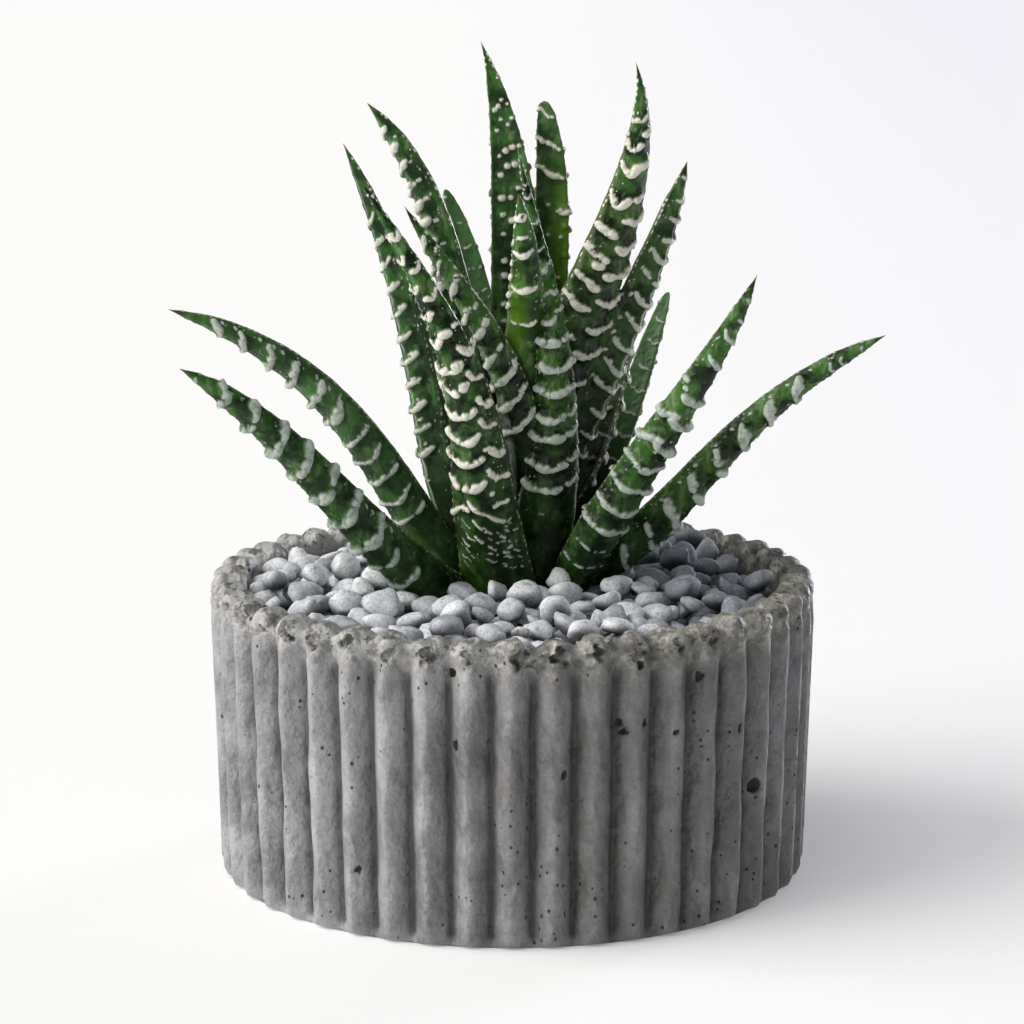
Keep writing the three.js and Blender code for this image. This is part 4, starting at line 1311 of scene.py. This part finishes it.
def stone_mesh(kind):
    """One river stone of unit size: a rounded cube pushed into a lopsided, slightly faceted lump."""
    random = np.random.RandomState(100 + kind)
    line = np.linspace(-1, 1, STONE_STEPS + 1)
    points, faces, seen = [], [], {}
    for axis in range(3):
        for side in (-1, 1):
            index = np.zeros((STONE_STEPS + 1, STONE_STEPS + 1), int)
            for i, u in enumerate(line):
                for j, v in enumerate(line):
                    point = [0.0, 0.0, 0.0]
                    point[axis] = side
                    point[(axis + 1) % 3] = math.tan(u * math.pi / 4)
                    point[(axis + 2) % 3] = math.tan(v * math.pi / 4)
                    key = tuple(round(c, 5) for c in point)
                    if key not in seen:
                        seen[key] = len(points)
                        points.append(point)
                    index[i, j] = seen[key]
            for i in range(STONE_STEPS):
                for j in range(STONE_STEPS):
                    quad = [index[i, j], index[i + 1, j], index[i + 1, j + 1], index[i, j + 1]]
                    faces.append(quad if side > 0 else quad[::-1])
    points = np.array(points)
    points /= np.linalg.norm(points, axis=1, keepdims=True)
    for _ in range(STONE_FLATS):
        plane = random.normal(size=3)
        plane /= np.linalg.norm(plane)
        over = np.clip(points @ plane - random.uniform(0.5, 0.8), 0, None)
        points -= random.uniform(0.75, 1.0) * over[:, None] * plane
    for strength in (0.13, 0.08, 0.06):
        wave = random.normal(size=3) * 1.6
        points *= 1 + strength * np.sin(points @ wave + random.uniform(0, 6))[:, None]
    points /= 1.04 * np.linalg.norm(points, axis=1).mean()
    piece = new_piece(f"stone_{kind}", points, faces, link=False)
    # low: how far down the stone a point lies, which the material paints as shade on the underside
    store(piece, "low", np.clip(0.12 - 1.4 * points[:, 2], 0, 1))
    return piece


def leaf_obstacles():
    """Balls that stand for the leaves and the stem where the pebbles lie round them, in mm."""
    balls = []
    for leaf in LEAVES.values():
        share = np.linspace(0, 0.45, 16)
        centre, _, _, _, width, _ = leaf_stations(leaf, share)
        for point, wide in zip(centre, width):
            if point[2] < 46:
                balls.append((*point, wide * 0.4))
    balls += [(0, 0, z, 4.5) for z in (30, 34, 38, 42)]
    return np.array(balls)


def settle_pebbles(look):
    """Lets flat stones sink into the pot until they rest on each other. Returns places and sizes in mm."""
    random = np.random.RandomState(5)
    count = look.count
    wall = GRAVEL_TOP.x / MM
    a = (look.small + (look.large - look.small) * random.beta(1.5, 2.4, count)) / MM
    b = a * random.uniform(0.66, 0.95, count)
    c = a * random.uniform(0.5, 0.74, count)
    size = (a + b) / 2
    turn = random.uniform(0, 2 * math.pi, count)
    reach = np.sqrt(random.uniform(7**2, (wall - 2.5) ** 2, count))
    spots = np.stack([reach * np.cos(turn), reach * np.sin(turn), random.uniform(34, 46, count)], -1)
    stretch = np.array([1, 1, 1 / STONE_FLATNESS])
    spots *= stretch
    balls = leaf_obstacles()
    floor = look.bed / MM / STONE_FLATNESS + size
    touch = (size[:, None] + size[None, :]) * STONE_GAP
    for step in range(SETTLE_STEPS):
        settled = step > SETTLE_STEPS - SETTLED_STEPS
        spots[:, 2] -= SETTLED_SINK if settled else SINK
        apart = spots[:, None] - spots[None]
        gap = np.linalg.norm(apart, axis=-1) + 1e-6
        push = np.clip(touch - gap, 0, None) / gap
        np.fill_diagonal(push, 0)
        spots += (SETTLED_PUSH if settled else PUSH) * (push[..., None] * apart).sum(1)
        level = np.abs(spots[:, None, 2] * STONE_FLATNESS - balls[None, :, 2])
        apart = spots[:, None, :2] - balls[None, :, :2]
        gap = np.linalg.norm(apart, axis=-1) + 1e-6
        push = np.clip(size[:, None] * 0.8 + balls[None, :, 3] - gap, 0, None) / gap * (level < 1.6)
        spots[:, :2] += 0.35 * (push[..., None] * apart).sum(1)
        spots[:, 2] = np.maximum(spots[:, 2], floor)
        reach = np.hypot(spots[:, 0], spots[:, 1])
        limit = wall - size * 0.97
        over = reach > limit
        spots[over, :2] *= (limit[over] / reach[over])[:, None]
    return spots / stretch, np.stack([a, b, c], -1), random


def pebble_tree():
    """Puts a stone at each point, turned and sized as the point says."""
    tree, given = new_tree(
        "Pebble bed", {"Geometry": "Geometry", "Stones": "Collection", "Material": "Material"}
    )
    add = partial(add_node, tree)
    stones = add(
        "GeometryNodeCollectionInfo",
        {"Collection": given["Stones"], "Separate Children": True, "Reset Children": True},
    )[0]
    kinds = {"kind": "INT", "turn": "FLOAT_VECTOR", "size": "FLOAT_VECTOR", "shade": "FLOAT"}
    reads = {
        name: add("GeometryNodeInputNamedAttribute", {"Name": name}, data_type=kind)["Attribute"]
        for name, kind in kinds.items()
    }
    spots = add("GeometryNodeMeshToPoints", {"Mesh": given["Geometry"]})[0]
    turned = add("FunctionNodeEulerToRotation", [reads["turn"]])[0]
    placed = add("GeometryNodeInstanceOnPoints", {
        "Points": spots, "Instance": stones, "Pick Instance": True, "Instance Index": reads["kind"],
        "Rotation": turned, "Scale": reads["size"],
    })[0]
    tinted = add(
        "GeometryNodeStoreNamedAttribute",
        {"Geometry": placed, "Name": "tint", "Value": reads["shade"]},
        data_type="FLOAT", domain="INSTANCE",
    )[0]
    end_tree(tree, tinted, given["Material"])
    return tree


def build_gravel(look):
    """The pebbles that cover the soil."""
    spots, sizes, random = settle_pebbles(look)
    piece = new_piece("pebbles", spots * MM, [])
    count = look.count
    tilt = np.stack([*random.normal(0, 0.35, (2, count)), random.uniform(0, 6.3, count)], -1)
    store(piece, "turn", tilt, "FLOAT_VECTOR")
    store(piece, "size", sizes * MM, "FLOAT_VECTOR")
    # painted shade: the stones towards the right and back are painted darker, where the plant shades them
    shaded_side = np.clip((spots[:, 0] + 0.5 * spots[:, 1]) / 22, 0, 1)
    store(piece, "shade", np.clip(random.normal(0.74, 0.26, count), 0, 1) - 0.68 * shaded_side)
    kinds = piece.data.attributes.new("kind", "INT", "POINT")
    kinds.data.foreach_set("value", random.randint(0, STONE_KINDS, count).astype(np.int32))
    stones = bpy.data.collections.new("stone_kinds")
    for kind in range(STONE_KINDS):
        stones.objects.link(stone_mesh(kind))
    apply_tree(piece, pebble_tree(), {"Stones": stones, "Material": pebble_material(look)})
    discard(*stones.objects)
    bpy.data.collections.remove(stones)
    finish_piece(piece, "pebbles", "gravel")


# ---------------------------------------------------------------- stage

FLOOR_SIZE = 12.0  # in metres
KEY_DIRECTION = (-0.7, -0.35, 1.05)  # from the object towards the key light
SIDE_DIRECTION = (-1.0, -0.22, 0.38)
EDGE_DIRECTION = (0.67, 0.74, 0.09)
TOP_DIRECTION = (0.1, -0.15, 1.0)
SENSOR_WIDTH = 36  # in mm


def add_light(name, towards, strength, spread, tint):
    """A soft light from one side. Its spread is how wide it looks from the object."""
    light = bpy.data.lights.new(name, "SUN")
    light.energy = strength
    light.angle = spread
    light.color = tint[:3]
    lamp = bpy.data.objects.new(name, light)
    lamp.rotation_euler = Vector(towards).to_track_quat("Z", "Y").to_euler()
    bpy.context.scene.collection.objects.link(lamp)


def build_stage(look):
    """Floor, light and camera."""
    size = FLOOR_SIZE / 2
    corners = [(-size, -size, 0), (size, -size, 0), (size, size, 0), (-size, size, 0)]
    floor = new_piece("floor", corners, [(0, 1, 2, 3)])
    material, tree, shader = new_material(
        "pale_paper", Roughness=0.9, Specular_IOR_Level=0.1, Emission_Strength=look.table
    )
    place, _ = surface(tree)
    sideways = add_node(tree, "ShaderNodeSeparateXYZ", [place])[0]
    # painted shade: the floor turns darker and bluer towards the right, away from the light
    tone = lay_tones(tree, look.floor, (srgb("#e1e0e9"), (sideways, -70 * MM, 260 * MM)))
    join(tree, shader, Base_Color=tone)
    floor.data.materials.append(material)

    add_light("key", KEY_DIRECTION, look.key, look.spread, srgb("#fffaf4"))
    add_light("side", SIDE_DIRECTION, look.side, math.radians(64), srgb("#fffcf8"))
    add_light("edge", EDGE_DIRECTION, look.edge, math.radians(20), srgb("#f4f6ff"))
    add_light("top", TOP_DIRECTION, look.top, math.radians(110), srgb("#f2f4fc"))

    world = bpy.data.worlds.new("soft_light")
    world.use_nodes = True
    sky = world.node_tree.nodes["Background"]
    sky.inputs["Color"].default_value = srgb("#f6f8ff")
    sky.inputs["Strength"].default_value = look.fill
    bpy.context.scene.world = world

    lens = bpy.data.cameras.new("camera")
    lens.lens = look.lens
    lens.sensor_width = SENSOR_WIDTH
    lens.clip_start, lens.clip_end = 0.01, 50
    camera = bpy.data.objects.new("camera", lens)
    camera.location = (0, -look.distance, look.height)
    camera.rotation_euler = (math.pi / 2 - look.pitch, 0, 0)
    bpy.context.scene.collection.objects.link(camera)
    bpy.context.scene.camera = camera
    bpy.context.scene.view_settings.view_transform = "Standard"


# ---------------------------------------------------------------- operators and panel


class HAWORTHIA_OT_stage(bpy.types.Operator):
    """Add the floor, the light and the camera"""

    bl_idname = "haworthia.stage"
    bl_label = "Stage"

    def execute(self, context):
        build_stage(context.scene.haworthia_stage)
        return {"FINISHED"}


class HAWORTHIA_OT_pot(bpy.types.Operator):
    """Build the fluted concrete pot"""

    bl_idname = "haworthia.pot"
    bl_label = "Pot"

    def execute(self, context):
        build_pot(context.scene.haworthia_pot)
        return {"FINISHED"}


class HAWORTHIA_OT_soil(bpy.types.Operator):
    """Give the soil and the stem their finish"""

    bl_idname = "haworthia.soil"
    bl_label = "Soil and stem"

    def execute(self, context):
        for node, material in (("soil", soil_material()), ("stem", stem_material())):
            frame["nodes"][node].material_slots[0].material = material
        return {"FINISHED"}


class HAWORTHIA_OT_gravel(bpy.types.Operator):
    """Fill the pot with pebbles"""

    bl_idname = "haworthia.gravel"
    bl_label = "Pebbles"

    def execute(self, context):
        build_gravel(context.scene.haworthia_gravel)
        return {"FINISHED"}


class HAWORTHIA_OT_leaves(bpy.types.Operator):
    """Grow the leaves with their wax bands"""

    bl_idname = "haworthia.leaves"
    bl_label = "Leaves"

    def execute(self, context):
        build_leaves(context.scene.haworthia_leaves)
        return {"FINISHED"}


OPERATORS = (
    HAWORTHIA_OT_stage,
    HAWORTHIA_OT_pot,
    HAWORTHIA_OT_soil,
    HAWORTHIA_OT_gravel,
    HAWORTHIA_OT_leaves,
)
SETTINGS = {
    "haworthia_stage": HAWORTHIA_PG_stage,
    "haworthia_pot": HAWORTHIA_PG_pot,
    "haworthia_gravel": HAWORTHIA_PG_gravel,
    "haworthia_leaves": HAWORTHIA_PG_leaves,
}


class HAWORTHIA_PT_panel(bpy.types.Panel):
    """Steps and settings of the potted haworthia"""

    bl_label = "Haworthia"
    bl_idname = "HAWORTHIA_PT_panel"
    bl_space_type = "VIEW_3D"
    bl_region_type = "UI"
    bl_category = "Haworthia"

    def draw(self, context):
        for operator in OPERATORS:
            self.layout.operator(operator.bl_idname)
        for name, group in SETTINGS.items():
            box = self.layout.box()
            box.label(text=group.__doc__)
            for label in group.__annotations__:
                box.prop(getattr(context.scene, name), label)


CLASSES = (*SETTINGS.values(), *OPERATORS, HAWORTHIA_PT_panel)


def register():
    for item in CLASSES:
        bpy.utils.register_class(item)
    for name, group in SETTINGS.items():
        setattr(bpy.types.Scene, name, PointerProperty(type=group))


def unregister():
    for name in SETTINGS:
        delattr(bpy.types.Scene, name)
    for item in reversed(CLASSES):
        bpy.utils.unregister_class(item)


def main():
    """Builds everything."""
    register()
    for operator in OPERATORS:
        group, name = operator.bl_idname.split(".")
        getattr(getattr(bpy.ops, group), name)()


if __name__ == "__main__":
    main()
